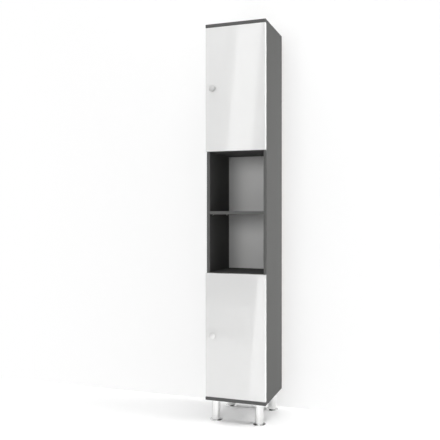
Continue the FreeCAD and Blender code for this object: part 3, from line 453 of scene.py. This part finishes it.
class Fastener(Graph):
    """A geometry tree that puts one kind of fastener on points. Its inputs are lengths and counts by name."""

    def __init__(self, name, lengths, counts=()):
        tree = bpy.data.node_groups.new(name, "GeometryNodeTree")
        tree.interface.new_socket("Geometry", in_out="OUTPUT", socket_type="NodeSocketGeometry")
        kinds = {"Geometry": "Geometry", **dict.fromkeys(lengths, "Float"), **dict.fromkeys(counts, "Int"),
                 "Material": "Material"}
        for label, kind in kinds.items():
            tree.interface.new_socket(label, in_out="INPUT", socket_type="NodeSocket" + kind)
        super().__init__(tree)
        self.inputs = self.node("NodeGroupInput").outputs()
        self.sizes = [self.inputs[label] for label in (*lengths, *counts)]

    def vector(self, x=0.0, y=0.0, z=0.0):
        return self.node("ShaderNodeCombineXYZ", {}, {"X": x, "Y": y, "Z": z})

    def raised(self, shape, height, turn=(0, 0, 0)):
        """A shape turned and then lifted."""
        return self.node("GeometryNodeTransform", {},
                         {"Geometry": shape, "Translation": self.vector(z=height), "Rotation": turn})

    def cylinder(self, radius, depth, sides=24):
        """A closed cylinder that stands on the origin."""
        sockets = {"Vertices": sides, "Radius": radius, "Depth": depth}
        return self.raised(self.node("GeometryNodeMeshCylinder", {}, sockets, "Mesh"), depth * 0.5)

    def cone(self, top, bottom, depth, sides=24):
        """A closed cone that stands on the origin."""
        sockets = {"Vertices": sides, "Radius Top": top, "Radius Bottom": bottom, "Depth": depth}
        return self.node("GeometryNodeMeshCone", {}, sockets, "Mesh")

    def eased_ends(self, top, bottom, length, chamfer):
        """A chamfer for each end of a pin or dowel."""
        tip = self.cone(top, bottom, chamfer, 32)
        return [self.raised(tip, length - chamfer), self.raised(tip, chamfer, UPSIDE_DOWN)]

    def shank(self, radius, length, sides):
        """A shank with a point, that starts at the origin."""
        straight = length - radius * 2.0
        return [self.cylinder(radius, straight, sides),
                self.raised(self.cone(0.0, radius, radius * 2.0, sides), straight)]

    def less(self, shape, tools):
        """A shape with tools cut out of it."""
        return self.node("GeometryNodeMeshBoolean", {"operation": "DIFFERENCE", "solver": "EXACT"},
                         {"Mesh 1": shape, "Mesh 2": tools}, "Mesh")

    def placed(self, shapes, seed):
        """Copies of the shapes on the points, along each point's aim and turned at random, as real faces."""
        aim = self.node("GeometryNodeInputNamedAttribute", {"data_type": "FLOAT_VECTOR"},
                        {"Name": "aim"}, "Attribute")
        rotation = self.node("FunctionNodeAlignRotationToVector", {"axis": "Z"}, {"Vector": aim})
        angle = self.node("FunctionNodeRandomValue", {"data_type": "FLOAT"},
                          {"Min": 0.0, "Max": math.tau, "Seed": seed})
        about = self.node("FunctionNodeEulerToRotation", {}, {0: self.vector(z=angle)})
        rotation = self.node("FunctionNodeRotateRotation", {"rotation_space": "LOCAL"},
                             {"Rotation": rotation, "Rotate By": about})
        shape = self.node("GeometryNodeJoinGeometry", {}, {0: shapes})
        copies = self.node("GeometryNodeInstanceOnPoints", {},
                           {"Points": self.inputs["Geometry"], "Instance": shape, "Rotation": rotation})
        real = self.node("GeometryNodeRealizeInstances", {}, {"Geometry": copies})
        real = self.node("GeometryNodeSetMaterial", {},
                         {"Geometry": real, "Material": self.inputs["Material"]})
        self.node("NodeGroupOutput", {}, {0: real})
        return self.tree


def screw_tree():
    """A pan head wood screw with a cross recess. Its head's underside lies on the point."""
    tree = Fastener("Screw", ("Head Radius", "Head Height", "Shank Radius", "Length", "Recess"))
    head, rise, shank, length, recess = tree.sizes
    side = rise * 0.45
    rim = tree.raised(tree.cylinder(head, side), -side)
    crown = tree.raised(tree.cone(head * 0.6, head, rise - side), -side, UPSIDE_DOWN)
    blades = []    # of the cross, down past the middle of the head
    for across, along in ((head * 1.05, recess), (recess, head * 1.05)):
        size = tree.vector(across, along, rise * 1.2)
        blades.append(tree.raised(tree.node("GeometryNodeMeshCube", {}, {"Size": size}, "Mesh"), -rise))
    crown, rim = tree.less(crown, blades), tree.less(rim, blades)
    return tree.placed([crown, rim, *tree.shank(shank, length, 16)], seed=1)


def dowel_tree():
    """A fluted wooden dowel that starts at the point."""
    tree = Fastener("Dowel", ("Radius", "Length", "Chamfer"), ("Flutes",))
    radius, length, chamfer, flutes = tree.sizes
    body = tree.cylinder(radius, length - chamfer * 2.0, flutes * 4.0)
    x, y, z = tree.parts(tree.node("GeometryNodeInputPosition"))
    wave = 0.97 + 0.03 * tree.sum("COSINE", tree.sum("ARCTAN2", y, x) * flutes)
    body = tree.node("GeometryNodeSetPosition", {},
                     {"Geometry": body, "Position": tree.vector(x * wave, y * wave, z)})
    body = tree.raised(body, chamfer)
    return tree.placed([body, *tree.eased_ends(radius * 0.75, radius * 0.95, length, chamfer)], seed=2)


def nail_tree():
    """A flat nail. Its head's underside lies on the point."""
    tree = Fastener("Nail", ("Head Radius", "Head Height", "Shank Radius", "Length"))
    head, rise, shank, length = tree.sizes
    side = rise * 0.55
    rim = tree.raised(tree.cylinder(head, side, 20), -side)
    crown = tree.raised(tree.cone(head * 0.55, head, rise - side, 20), -side, UPSIDE_DOWN)
    return tree.placed([rim, crown, *tree.shank(shank, length, 10)], seed=3)


def pin_tree():
    """A plain steel shelf pin with eased ends that starts at the point."""
    tree = Fastener("Pin", ("Radius", "Length", "Chamfer"))
    radius, length, chamfer = tree.sizes
    body = tree.raised(tree.cylinder(radius, length - chamfer * 2.0, 32), chamfer)
    return tree.placed([body, *tree.eased_ends(radius - chamfer, radius, length, chamfer)], seed=4)


def cap_tree():
    """A flat cover cap with an eased rim that lies on the point."""
    tree = Fastener("Cap", ("Radius", "Thickness", "Chamfer"))
    radius, thickness, chamfer = tree.sizes
    low = thickness - chamfer
    rim = tree.raised(tree.cone(radius - chamfer, radius, chamfer, 48), low)
    return tree.placed([tree.cylinder(radius, low, 48), rim], seed=5)


# The ways that a fastener's far end can lie, from its middle and the axis that it lies along.

def onwards(middle, axis):
    """To the right, to the rear or up."""
    return axis


def backwards(middle, axis):
    """To the left, to the front or down."""
    return -axis


def outwards(middle, axis):
    """Away from the middle of the cabinet."""
    return axis if middle.dot(axis) > 0 else -axis


def off_the_board(middle, axis):
    """From the board that a cap lies on into the room before it."""
    for way in (axis, -axis):
        probe = middle - way * 2 * MILLIMETRE
        for node in BOARDS:
            low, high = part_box(node)
            if all(low[k] <= probe[k] <= high[k] for k in range(3)):
                return way
    raise RuntimeError("a cover cap lies on no board")


def lying(node, axes, way, pick=max):
    """Start point and aim of each solid of a node, and the length and radius that they all have.

    A solid lies along the axis on which it is longest, or on which it is thinnest with pick=min.
    """
    points = []
    for low, high in islands(node):
        span = high - low
        middle = (low + high) / 2
        axis = pick(axes, key=span.dot)
        aim = way(middle, axis)
        extent = span.dot(axis)
        radius = max(size for size, share in zip(span, axis) if not share) / 2
        points.append((middle - aim * extent / 2, aim))
    return points, extent, radius


def scattered(node, name, tree, points, sizes, body, slot, material):
    """Run a fastener tree on points with aims, and keep the result as one plain mesh on a body."""
    data = bpy.data.meshes.new(name + "_points")
    data.from_pydata([point for point, _ in points], [], [])
    aims = data.attributes.new("aim", "FLOAT_VECTOR", "POINT")
    aims.data.foreach_set("vector", [x for _, aim in points for x in aim])
    seat = added(name + "_seat", data)
    modifier = seat.modifiers.new("Fasteners", "NODES")
    modifier.node_group = tree
    labels = {item.name: item.identifier for item in tree.interface.items_tree if item.in_out == "INPUT"}
    for label, value in {**sizes, "Material": material}.items():
        modifier[labels[label]] = value
    bpy.context.view_layer.update()
    mesh = bpy.data.meshes.new_from_object(seat.evaluated_get(bpy.context.evaluated_depsgraph_get()))
    bpy.data.objects.remove(seat)
    if not mesh.polygons:
        raise RuntimeError(f"{name} came out with no faces")
    mesh.name = name
    finished(new_piece(name, mesh, FASTENER_CREASE), body, slot, material, node)


# ---- Sizes and colours ----

def length(label, text, default):
    return FloatProperty(name=label, description=text, default=default, unit="LENGTH", precision=5)


def colour(label, text, default):
    return FloatVectorProperty(name=label, description=text, default=default, subtype="COLOR", min=0, max=1)


def share(label, text, default):
    return FloatProperty(name=label, description=text, default=default, min=0)


def power(label, text, default):
    return FloatProperty(name=label, description=text, default=default, min=0, unit="POWER")


class CabinetColours(bpy.types.PropertyGroup):
    """Colours of the cabinet's materials, as linear values."""
    graphite: colour("Graphite", "Melamine of the boards", (0.096, 0.096, 0.094))
    # Partly the band's own tone, partly painted light: lighter than the graphite for the brighter front
    # edges.
    edge_band_and_front_light: colour("Edge band", "Band on the front edges of the boards", (0.128, 0.128, 0.126))
    band_joint: colour("Band joint", "Line between a board's face and its edge band", (0.02, 0.02, 0.021))
    lacquer: colour("Lacquer", "White gloss of the doors", (0.82, 0.82, 0.815))
    paint: colour("Back panel paint", "Front of the back panel", (0.60, 0.60, 0.595))
    fibre: colour("Hardboard", "Bare back of the back panel", (0.44, 0.29, 0.165))
    fibre_speck: colour("Hardboard specks", "Dark fibres of the back panel", (0.16, 0.09, 0.045))
    satin: colour("Satin metal", "Legs and feet", (0.80, 0.80, 0.795))
    knob: colour("Knob metal", "Knobs", (0.80, 0.80, 0.795))
    steel: colour("Plated steel", "Hinges, screws, pins and bracket", (0.66, 0.655, 0.64))
    zinc: colour("Zinc", "Cams", (0.56, 0.56, 0.555))
    beech: colour("Beech", "Dowels", (0.60, 0.40, 0.22))
    beech_pore: colour("Beech pores", "Dark grain of the dowels", (0.33, 0.18, 0.08))
    cap: colour("Cap plastic", "Cover caps of the cams", (0.11, 0.11, 0.108))
    plug: colour("Plug plastic", "Threaded plugs of the legs", (0.022, 0.022, 0.023))
    pad: colour("Pad", "Soft door pads", (0.86, 0.87, 0.86))


class CabinetSizes(bpy.types.PropertyGroup):
    """Sizes of details that the CAD pieces leave plain."""
    band: length("Edge band", "Thickness of the band on a board's front edge", 0.001)
    band_joint: length("Band joint", "Width of the line between a board's face and its edge band", 0.00036)
    knob_edge: length("Knob rounding", "Rounding of the knob's edges", 0.0007)
    knob_foot: length("Knob foot rounding", "Rounding where the knob stands on its door", 0.0003)
    knob_neck: length("Knob neck", "Radius of the knob's neck", 0.007)
    knob_rise: length("Knob neck rise", "Length of the knob's neck", 0.009)
    knob_side: length("Knob side", "Straight side of the knob's head", 0.002)
    knob_dome: length("Knob dome", "Rise of the knob's face", 0.003)
    leg_edge: length("Leg rounding", "Rounding at the lower end of a leg tube", 0.0008)
    foot_edge: length("Foot edge", "Straight edge of a foot flange", 0.002)
    foot_round: length("Foot rounding", "Rounding of a foot's edges", 0.0006)
    foot_thickness: length("Foot thickness", "Foot flange", 0.0045)
    stud: length("Foot stud", "Radius of a foot's screw", 0.005)
    head_width: share("Screw head width", "Head of a screw, in shank diameters", 1.9)
    head_height: share("Screw head height", "Head of a screw, in shank diameters", 0.55)
    recess: share("Screw recess", "Width of the cross, as a share of the head's radius", 0.3)
    flutes: IntProperty(name="Dowel flutes", description="Grooves round a dowel", default=18, min=3)


class CabinetStage(bpy.types.PropertyGroup):
    """The studio: floor, wall, lamps and camera."""
    camera: FloatVectorProperty(name="Camera", description="Place of the camera", unit="LENGTH",
                                default=(0.91715, -2.80955, 0.99189), subtype="TRANSLATION")
    turn: FloatProperty(name="Camera turn", description="Turn of the camera about the vertical",
                        default=math.radians(18.47), subtype="ANGLE")
    lens: FloatProperty(name="Lens", description="Focal length", default=48.95, subtype="DISTANCE_CAMERA")
    shift: FloatVectorProperty(name="Shift", description="Shift of the view, in frame widths", size=2,
                               default=(-0.0455, -0.0137))
    wall_gap: length("Wall gap", "From the cabinet's back to the wall", 0.02)
    room: length("Room", "Half the width of the floor and wall", 12.0)
    world: share("Room light", "Even light from all round", 0.24)
    mirrored: share("Mirrored room", "Brightness of the room in reflections", 0.9)
    horizon: share("Mirrored horizon", "Brightness of the room's horizon in reflections", 0.6)
    cards: share("Cards", "Brightness of the upright cards in reflections", 1.9)
    near_card: share("Near card", "Brightness of the card on the floor in reflections", 1.25)
    paint: share("Paint", "Floor and wall paint as light from it falls on the cabinet", 0.8)
    mirrored_near: share("Mirrored floor", "Floor paint near the cabinet in reflections", 1.05)
    mirrored_far: share("Mirrored far floor", "Floor paint away from the cabinet in reflections", 0.6)
    floor_white: share("Floor white", "Floor paint as the camera sees it", 1.07)
    floor_own: share("Floor's own white", "Share of the floor's white that takes no shadow", 0.0)
    wall_white: share("Wall white", "Wall paint as the camera sees it", 1.08)
    wall_own: share("Wall's own white", "Share of the wall's white that takes no shadow", 0.6)
    key: power("Key lamp", "Power of the front lamp", 63)
    side: power("Side lamp", "Power of the right lamp", 80)
    left_side: power("Left side lamp", "Power of the left lamp", 28)
    overhead: power("Overhead lamp", "Power of the lamp overhead", 37)
    rear: power("Rear lamps", "Power of each lamp behind", 14)


# ---- Operators ----

def settings(context):
    """The colours and the sizes that a user can change."""
    return context.scene.cabinet_colours, context.scene.cabinet_sizes


class FinishBoards(bpy.types.Operator):
    """Give the carcass boards their graphite melamine and edge bands; the bands' lighter tone is partly
    painted light.
    """
    bl_idname = "cabinet.finish_boards"
    bl_label = "Boards"

    def execute(self, context):
        colours, sizes = settings(context)
        for node in BOARDS:
            dress(board_material(node, colours, sizes), node)
        return {"FINISHED"}


class FinishBackPanel(bpy.types.Operator):
    """Give the back panel its pale grey front and bare hardboard rear."""
    bl_idname = "cabinet.finish_back_panel"
    bl_label = "Back panel"

    def execute(self, context):
        colours, _ = settings(context)
        dress(hardboard_material("back_panel", colours), "back_panel")
        return {"FINISHED"}


class FinishDoors(bpy.types.Operator):
    """Lacquer the doors, and make their pads clear and soft."""
    bl_idname = "cabinet.finish_doors"
    bl_label = "Doors"

    def execute(self, context):
        colours, _ = settings(context)
        for node in DOORS:
            dress(lacquer_material(node, colours), node)
        dress(plastic_material("Clear pad", colours.pad, 0.3, 0.6), *[node + "_pads" for node in DOORS])
        return {"FINISHED"}


class TurnKnobs(bpy.types.Operator):
    """Turn the two knobs, with a hollow flare and a slightly domed face."""
    bl_idname = "cabinet.turn_knobs"
    bl_label = "Knobs"

    def execute(self, context):
        colours, sizes = settings(context)
        material = turned_material("Knob metal", colours.knob, 0.43, 0.0004, 0.000003)
        for door in DOORS:
            name = door.replace("door", "knob")
            low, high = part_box(name)
            middle = (low + high) / 2
            profile = self.profile(sizes, (high.x - low.x) / 2, high.y - low.y)
            matrix = Matrix.Translation((middle.x, high.y, middle.z)) @ Matrix.Rotation(math.pi / 2, 4, "X")
            finished(turned(name + "_turned", profile, matrix), door, "satin_knob", material, name)
        return {"FINISHED"}

    @staticmethod
    def profile(sizes, head, reach):
        """From the middle of the neck's foot out to the head's edge and back to the middle of its face.

        Flare and dome are quarters of an oval. The dome starts two steps in, clear of the rounded edge.
        """
        neck, rise = sizes.knob_neck, sizes.knob_rise
        face = reach - sizes.knob_dome
        foot = face - sizes.knob_side
        flare_turns, dome_turns = ([math.pi / 2 * k / steps for k in range(steps)]
                                   for steps in (FLARE_STEPS, DOME_STEPS))
        flare = [(neck + (head - neck) * (1 - math.cos(turn)), rise + (foot - rise) * math.sin(turn), 0)
                 for turn in flare_turns[1:]]
        dome = [(head * math.cos(turn), face + sizes.knob_dome * math.sin(turn), 0)
                for turn in dome_turns[2:]]
        return rounded([(0, 0, 0), (neck, 0, sizes.knob_foot), (neck, rise, 0), *flare,
                        (head, foot, sizes.knob_edge), (head, face, sizes.knob_edge / 2), *dome,
                        (0, reach, 0)])


class TurnLegs(bpy.types.Operator):
    """Turn the leg tubes and their feet, and finish the plugs and leg seats."""
    bl_idname = "cabinet.turn_legs"
    bl_label = "Legs and feet"

    def execute(self, context):
        colours, sizes = settings(context)
        metal = turned_material("Leg metal", colours.satin, 0.2, 0.0006, 0.0000015)
        plug_low, plug_high = islands("leg_plugs")[0]
        inner = (plug_high.x - plug_low.x) / 2
        for leg in LEGS:
            low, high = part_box(leg + "_leg")
            radius = (high.x - low.x) / 2
            tube = self.tube(sizes, inner, radius, high.z - low.z)
            self.turn(leg + "_leg", "tube", tube, "carcass", metal)
            low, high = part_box(leg + "_foot")
            foot = self.foot(sizes, radius + MILLIMETRE, (high.x - low.x) / 2, high.z - low.z)
            self.turn(leg + "_foot", "flange", foot, leg + "_foot", metal)
        dress(plastic_material("Plug plastic", colours.plug, 0.5), "leg_plugs")
        dress(steel_material("Leg socket steel", colours.steel, 0.3, 0.004, 0.00001), "leg_seats")
        return {"FINISHED"}

    @staticmethod
    def turn(node, form, profile, body, material):
        """Turn a piece about its node's upright axis, from the node's lowest point up."""
        low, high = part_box(node)
        middle = (low + high) / 2
        piece = turned(f"{node}_{form}", profile, Matrix.Translation((middle.x, middle.y, low.z)))
        finished(piece, body, "satin_metal", material, node)

    @staticmethod
    def tube(sizes, inner, outer, height):
        profile = rounded([(inner, 0, sizes.leg_edge / 2), (outer, 0, sizes.leg_edge), (outer, height, 0),
                           (inner, height, 0)])
        return [*profile, profile[0]]

    @staticmethod
    def foot(sizes, ring, rim, top):
        """The flange slopes from its rim up to a ring round the tube, with the stud in its middle."""
        return rounded([(0, 0, 0), (rim, 0, sizes.foot_round), (rim, sizes.foot_edge, sizes.foot_round),
                        (ring, sizes.foot_thickness, sizes.foot_round), (sizes.stud, sizes.foot_thickness, 0),
                        (sizes.stud, top, MILLIMETRE), (0, top, 0)])


class FinishHinges(bpy.types.Operator):
    """Plate the hinge cups, links, arms, plates and pins."""
    bl_idname = "cabinet.finish_hinges"
    bl_label = "Hinges"

    def execute(self, context):
        colours, _ = settings(context)
        pressed = steel_material("Hinge steel", colours.steel, 0.24, 0.003, 0.000008)
        drawn = steel_material("Pin steel", colours.steel, 0.18, 0.0015, 0.000004)
        for material, endings in ((pressed, ("_hinge_cup", "_hinge_link", "_hinge_arm", "_hinge_plate")),
                                  (drawn, ("_cup_pins", "_arm_pins"))):
            dress(material, *[node for node in NODES if node.endswith(endings)])
        return {"FINISHED"}


class DriveScrews(bpy.types.Operator):
    """Drive the cross-recessed screws of hinges, knobs, bracket and leg seats."""
    bl_idname = "cabinet.drive_screws"
    bl_label = "Screws"

    # node, axis, way that the tip lies, and body
    SCREWS = (("hinge_arm_screws", X, onwards, "carcass"),
              ("hinge_plate_screws", X, onwards, "carcass"),
              ("upper_hinge_cup_screws", Y, backwards, "upper_door"),
              ("lower_hinge_cup_screws", Y, backwards, "lower_door"),
              ("upper_knob_screw", Y, backwards, "upper_door"),
              ("lower_knob_screw", Y, backwards, "lower_door"),
              ("wall_bracket_screws", Z, onwards, "carcass"),
              ("leg_screws", Z, onwards, "carcass"))

    def execute(self, context):
        colours, sizes = settings(context)
        tree = screw_tree()
        material = steel_material("Screw steel", colours.steel, 0.28, 0.0012, 0.000004)
        for node, axis, way, body in self.SCREWS:
            points, extent, head = lying(node, [axis], way)
            shank = head / sizes.head_width
            rise = 2 * shank * sizes.head_height
            scattered(node, node + "_driven", tree, [(start + aim * rise, aim) for start, aim in points],
                      {"Head Radius": head, "Head Height": rise, "Shank Radius": shank,
                       "Length": extent - rise, "Recess": head * sizes.recess},
                      body, "bright_steel", material)
        return {"FINISHED"}


class SetFittings(bpy.types.Operator):
    """Set the corner fittings: bolts, cams, cover caps and fluted dowels."""
    bl_idname = "cabinet.set_fittings"
    bl_label = "Corner fittings"

    def execute(self, context):
        colours, sizes = settings(context)
        dress(steel_material("Zinc", colours.zinc, 0.42, 0.002, 0.00003), "cams")
        dress(steel_material("Bolt steel", colours.steel, 0.3, 0.0015, 0.000006), "cam_bolts")
        points, thickness, radius = lying("cam_caps", (X, Z), off_the_board, min)
        scattered("cam_caps", "cam_caps_pressed", cap_tree(), points,
                  {"Radius": radius, "Thickness": thickness, "Chamfer": thickness / 2},
                  "carcass", "graphite_plastic", plastic_material("Cap plastic", colours.cap, 0.45))
        points, extent, radius = lying("wood_dowels", (X, Z), onwards)
        scattered("wood_dowels", "wood_dowels_fluted", dowel_tree(), points,
                  {"Radius": radius, "Length": extent, "Chamfer": MILLIMETRE, "Flutes": sizes.flutes},
                  "carcass", "beech", wood_material(colours))
        return {"FINISHED"}


class PushShelfPins(bpy.types.Operator):
    """Push in the steel pins of the loose shelves."""
    bl_idname = "cabinet.push_shelf_pins"
    bl_label = "Shelf pins"

    def execute(self, context):
        colours, _ = settings(context)
        points, extent, radius = lying("shelf_pins", [X], outwards)
        scattered("shelf_pins", "shelf_pins_turned", pin_tree(), points,
                  {"Radius": radius, "Length": extent, "Chamfer": radius / 5},
                  "carcass", "bright_steel",
                  steel_material("Shelf pin steel", colours.steel, 0.25, 0.001, 0.000004))
        return {"FINISHED"}


class NailBackPanel(bpy.types.Operator):
    """Nail the back panel on."""
    bl_idname = "cabinet.nail_back_panel"
    bl_label = "Back panel nails"

    def execute(self, context):
        colours, _ = settings(context)
        points, extent, head = lying("back_panel_nails", [Y], backwards)
        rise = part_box("back_panel_nails")[1].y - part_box("back_panel")[1].y
        scattered("back_panel_nails", "back_panel_nails_driven", nail_tree(),
                  [(start + aim * rise, aim) for start, aim in points],
                  {"Head Radius": head, "Head Height": rise, "Shank Radius": head / 2,
                   "Length": extent - rise},
                  "carcass", "bright_steel",
                  steel_material("Nail steel", colours.steel, 0.32, 0.0008, 0.000006))
        return {"FINISHED"}


class FinishWallBracket(bpy.types.Operator):
    """Plate the bracket that ties the cabinet to the wall."""
    bl_idname = "cabinet.finish_wall_bracket"
    bl_label = "Wall bracket"

    def execute(self, context):
        colours, _ = settings(context)
        dress(steel_material("Bracket steel", colours.steel, 0.3, 0.003, 0.00001), "wall_bracket")
        return {"FINISHED"}


class SetStage(bpy.types.Operator):
    """Lay the floor, stand the wall behind, hang the lamps and set up the camera."""
    bl_idname = "cabinet.set_stage"
    bl_label = "Studio"

    def execute(self, context):
        stage = context.scene.cabinet_stage
        self.light_room(context.scene, stage)
        self.lay_floor(stage)
        self.stand_wall(stage)
        self.hang_lamps(stage)
        self.hang_cards(stage)
        self.set_camera(context.scene, stage)
        context.scene.view_settings.view_transform = "Standard"
        return {"FINISHED"}

    @staticmethod
    def light_room(scene, stage):
        """Even light, a white view, and in reflections a room that is dimmer at the horizon."""
        scene.world = bpy.data.worlds.new("Studio")
        graph = Graph(emptied(scene.world))
        seen, glossy, clear = graph.rays()
        rise = abs(graph.parts(graph.node("ShaderNodeTexCoord", output="Generated"))[2])
        room = stage.horizon + (stage.mirrored - stage.horizon) * graph.ramp(rise, 0.02, 0.35)
        white = seen + clear - seen * clear
        strength = stage.world + white * (1 - stage.world) + glossy * (1 - white) * (room - stage.world)
        graph.node("ShaderNodeOutputWorld", {}, {0: graph.light("ShaderNodeBackground", strength)})

    @staticmethod
    def plane(name, corners, material):
        data = bpy.data.meshes.new(name)
        data.from_pydata(corners, [], [(0, 1, 2, 3)])
        data.materials.append(material)
        piece = added(name, data)
        return piece

    @staticmethod
    def backdrop_material(name, stage, white, own, near, far):
        """A painted surface that takes the shadow, and for the camera its own white as well.

        Its own share of white grows to all of it from near to far, so that no horizon shows.
        From behind it is clear, and the cabinet's back can be seen through the wall.
        """
        graph = Surface(name)
        seen, glossy, _ = graph.rays()
        flat = graph.node("ShaderNodeVectorMath", {"operation": "MULTIPLY"}, {0: graph.place(), 1: (1, 1, 0)})
        away = graph.node("ShaderNodeVectorMath", {"operation": "LENGTH"}, {0: flat}, "Value")
        away = graph.ramp(away, near, far)
        tint = graph.blend(seen, rgb((stage.paint,) * 3), rgb((white,) * 3))
        mirrored = graph.blend(away, rgb((stage.mirrored_near,) * 3), rgb((stage.mirrored_far,) * 3))
        diffuse = graph.node("ShaderNodeBsdfDiffuse", {}, {"Color": graph.blend(glossy, tint, mirrored)})
        glow = graph.light("ShaderNodeEmission", 1.0)
        front = graph.mixed(seen * (own + (1 - own) * away), diffuse, glow)
        behind = graph.node("ShaderNodeNewGeometry", output="Backfacing")
        return graph.ended(graph.mixed(behind, front, graph.clear()))

    def lay_floor(self, stage):
        far = stage.room
        coat = self.backdrop_material("Floor", stage, stage.floor_white, stage.floor_own, near=0.5, far=1.7)
        self.plane("floor", [(-far, -far, 0), (far, -far, 0), (far, far, 0), (-far, far, 0)], coat)

    def stand_wall(self, stage):
        """The wall takes the cabinet's shadow, but throws none and shows in no reflection."""
        far = stage.room
        y = CAD_BOX[1].y + stage.wall_gap
        coat = self.backdrop_material("Wall", stage, stage.wall_white, stage.wall_own, near=0.3, far=1.4)
        wall = self.plane("wall", [(-far, y, 0), (far, y, 0), (far, y, far), (-far, y, far)], coat)
        wall.visible_shadow = wall.visible_diffuse = wall.visible_glossy = wall.visible_transmission = False

    # name, place, the point that it faces, width, height, and the setting of its power
    LAMPS = (("key", (-0.4, -4.0, 1.65), (0, 0, 0.9), 2.0, 1.6, "key"),
             ("overhead", (0, -0.5, 3.4), (0, -0.5, 0), 2.4, 2.4, "overhead"),
             ("right_side", (2.6, 0.25, 1.2), (0.15, 0, 1.1), 1.2, 2.0, "side"),
             ("left_side", (-2.4, 0.5, 2.2), (-0.15, 0, 1.0), 1.2, 1.4, "left_side"),
             ("rear_left", (-1.8, 2.4, 1.8), (0, 0.1, 0.9), 1.4, 1.8, "rear"),
             ("rear_right", (1.9, 2.5, 1.4), (0, 0.1, 0.9), 1.4, 1.8, "rear"))

    def hang_lamps(self, stage):
        for name, place, facing, width, height, power in self.LAMPS:
            data = bpy.data.lights.new(name, "AREA")
            data.shape = "RECTANGLE"
            data.size, data.size_y = width, height
            data.energy = getattr(stage, power)
            lamp = added(name, data)
            lamp.location = place
            lamp.rotation_euler = (Vector(facing) - Vector(place)).to_track_quat("-Z", "Y").to_euler()
            lamp.visible_glossy = False

    # name, the axis along which it fades in, where that starts and ends, the setting of its strength, corners
    CARDS = (("Tall card", 2, 1.4, 1.45, "cards",
              ((-1.135, -3.138, 1.45), (-0.865, -3.138, 1.45), (-0.73, -3.138, 3.1), (-0.985, -3.138, 3.1))),
             ("Low card", 2, -0.1, 0.0, "cards",
              ((-0.053, -0.5, 0.003), (0.3, -0.5, 0.003), (0.3, -0.5, 0.66), (0.004, -0.5, 0.66))),
             ("Near card", 1, -2.1, -1.6, "near_card",
              ((-1.6, -2.1, 0.002), (0.5, -2.1, 0.002), (0.5, -0.45, 0.002), (-1.6, -0.45, 0.002))))

    def hang_cards(self, stage):
        """White cards that show in gloss only, and draw the bright bands on the doors."""
        for name, axis, start, end, strength, corners in self.CARDS:
            graph = Surface(name)
            fade = graph.ramp(graph.parts(graph.place())[axis], start, end)
            glow = graph.light("ShaderNodeEmission", getattr(stage, strength))
            material = graph.ended(graph.mixed(fade, graph.clear(), glow))
            card = self.plane(name.lower().replace(" ", "_"), corners, material)
            card.visible_camera = card.visible_diffuse = False
            card.visible_shadow = card.visible_transmission = False

    @staticmethod
    def set_camera(scene, stage):
        data = bpy.data.cameras.new("Camera")
        data.lens = stage.lens
        data.shift_x, data.shift_y = stage.shift
        scene.camera = added("Camera", data)
        scene.camera.location = stage.camera
        scene.camera.rotation_euler = (math.pi / 2, 0, stage.turn)


STEPS = (SetStage, FinishBoards, FinishBackPanel, FinishDoors, TurnKnobs, TurnLegs, FinishHinges, DriveScrews,
         SetFittings, PushShelfPins, NailBackPanel, FinishWallBracket)


class CabinetPanel(bpy.types.Panel):
    """Lists the settings and the steps."""
    bl_idname = "VIEW3D_PT_cabinet"
    bl_label = "Tall Bathroom Cabinet"
    bl_space_type = "VIEW_3D"
    bl_region_type = "UI"
    bl_category = "Cabinet"

    def draw(self, context):
        for step in STEPS:
            self.layout.operator(step.bl_idname)
        for group, kind in SETTINGS.items():
            box = self.layout.box()
            for key in kind.__annotations__:
                box.prop(getattr(context.scene, group), key)


SETTINGS = {"cabinet_colours": CabinetColours, "cabinet_sizes": CabinetSizes, "cabinet_stage": CabinetStage}
CLASSES = (*SETTINGS.values(), *STEPS, CabinetPanel)


def register():
    for kind in CLASSES:
        bpy.utils.register_class(kind)
    for name, kind in SETTINGS.items():
        setattr(bpy.types.Scene, name, PointerProperty(type=kind))


def unregister():
    for name in SETTINGS:
        delattr(bpy.types.Scene, name)
    for kind in reversed(CLASSES):
        bpy.utils.unregister_class(kind)


def main():
    """Make every piece in order."""
    register()
    for step in STEPS:
        group, name = step.bl_idname.split(".")
        getattr(getattr(bpy.ops, group), name)()


if __name__ == "__main__":
    main()
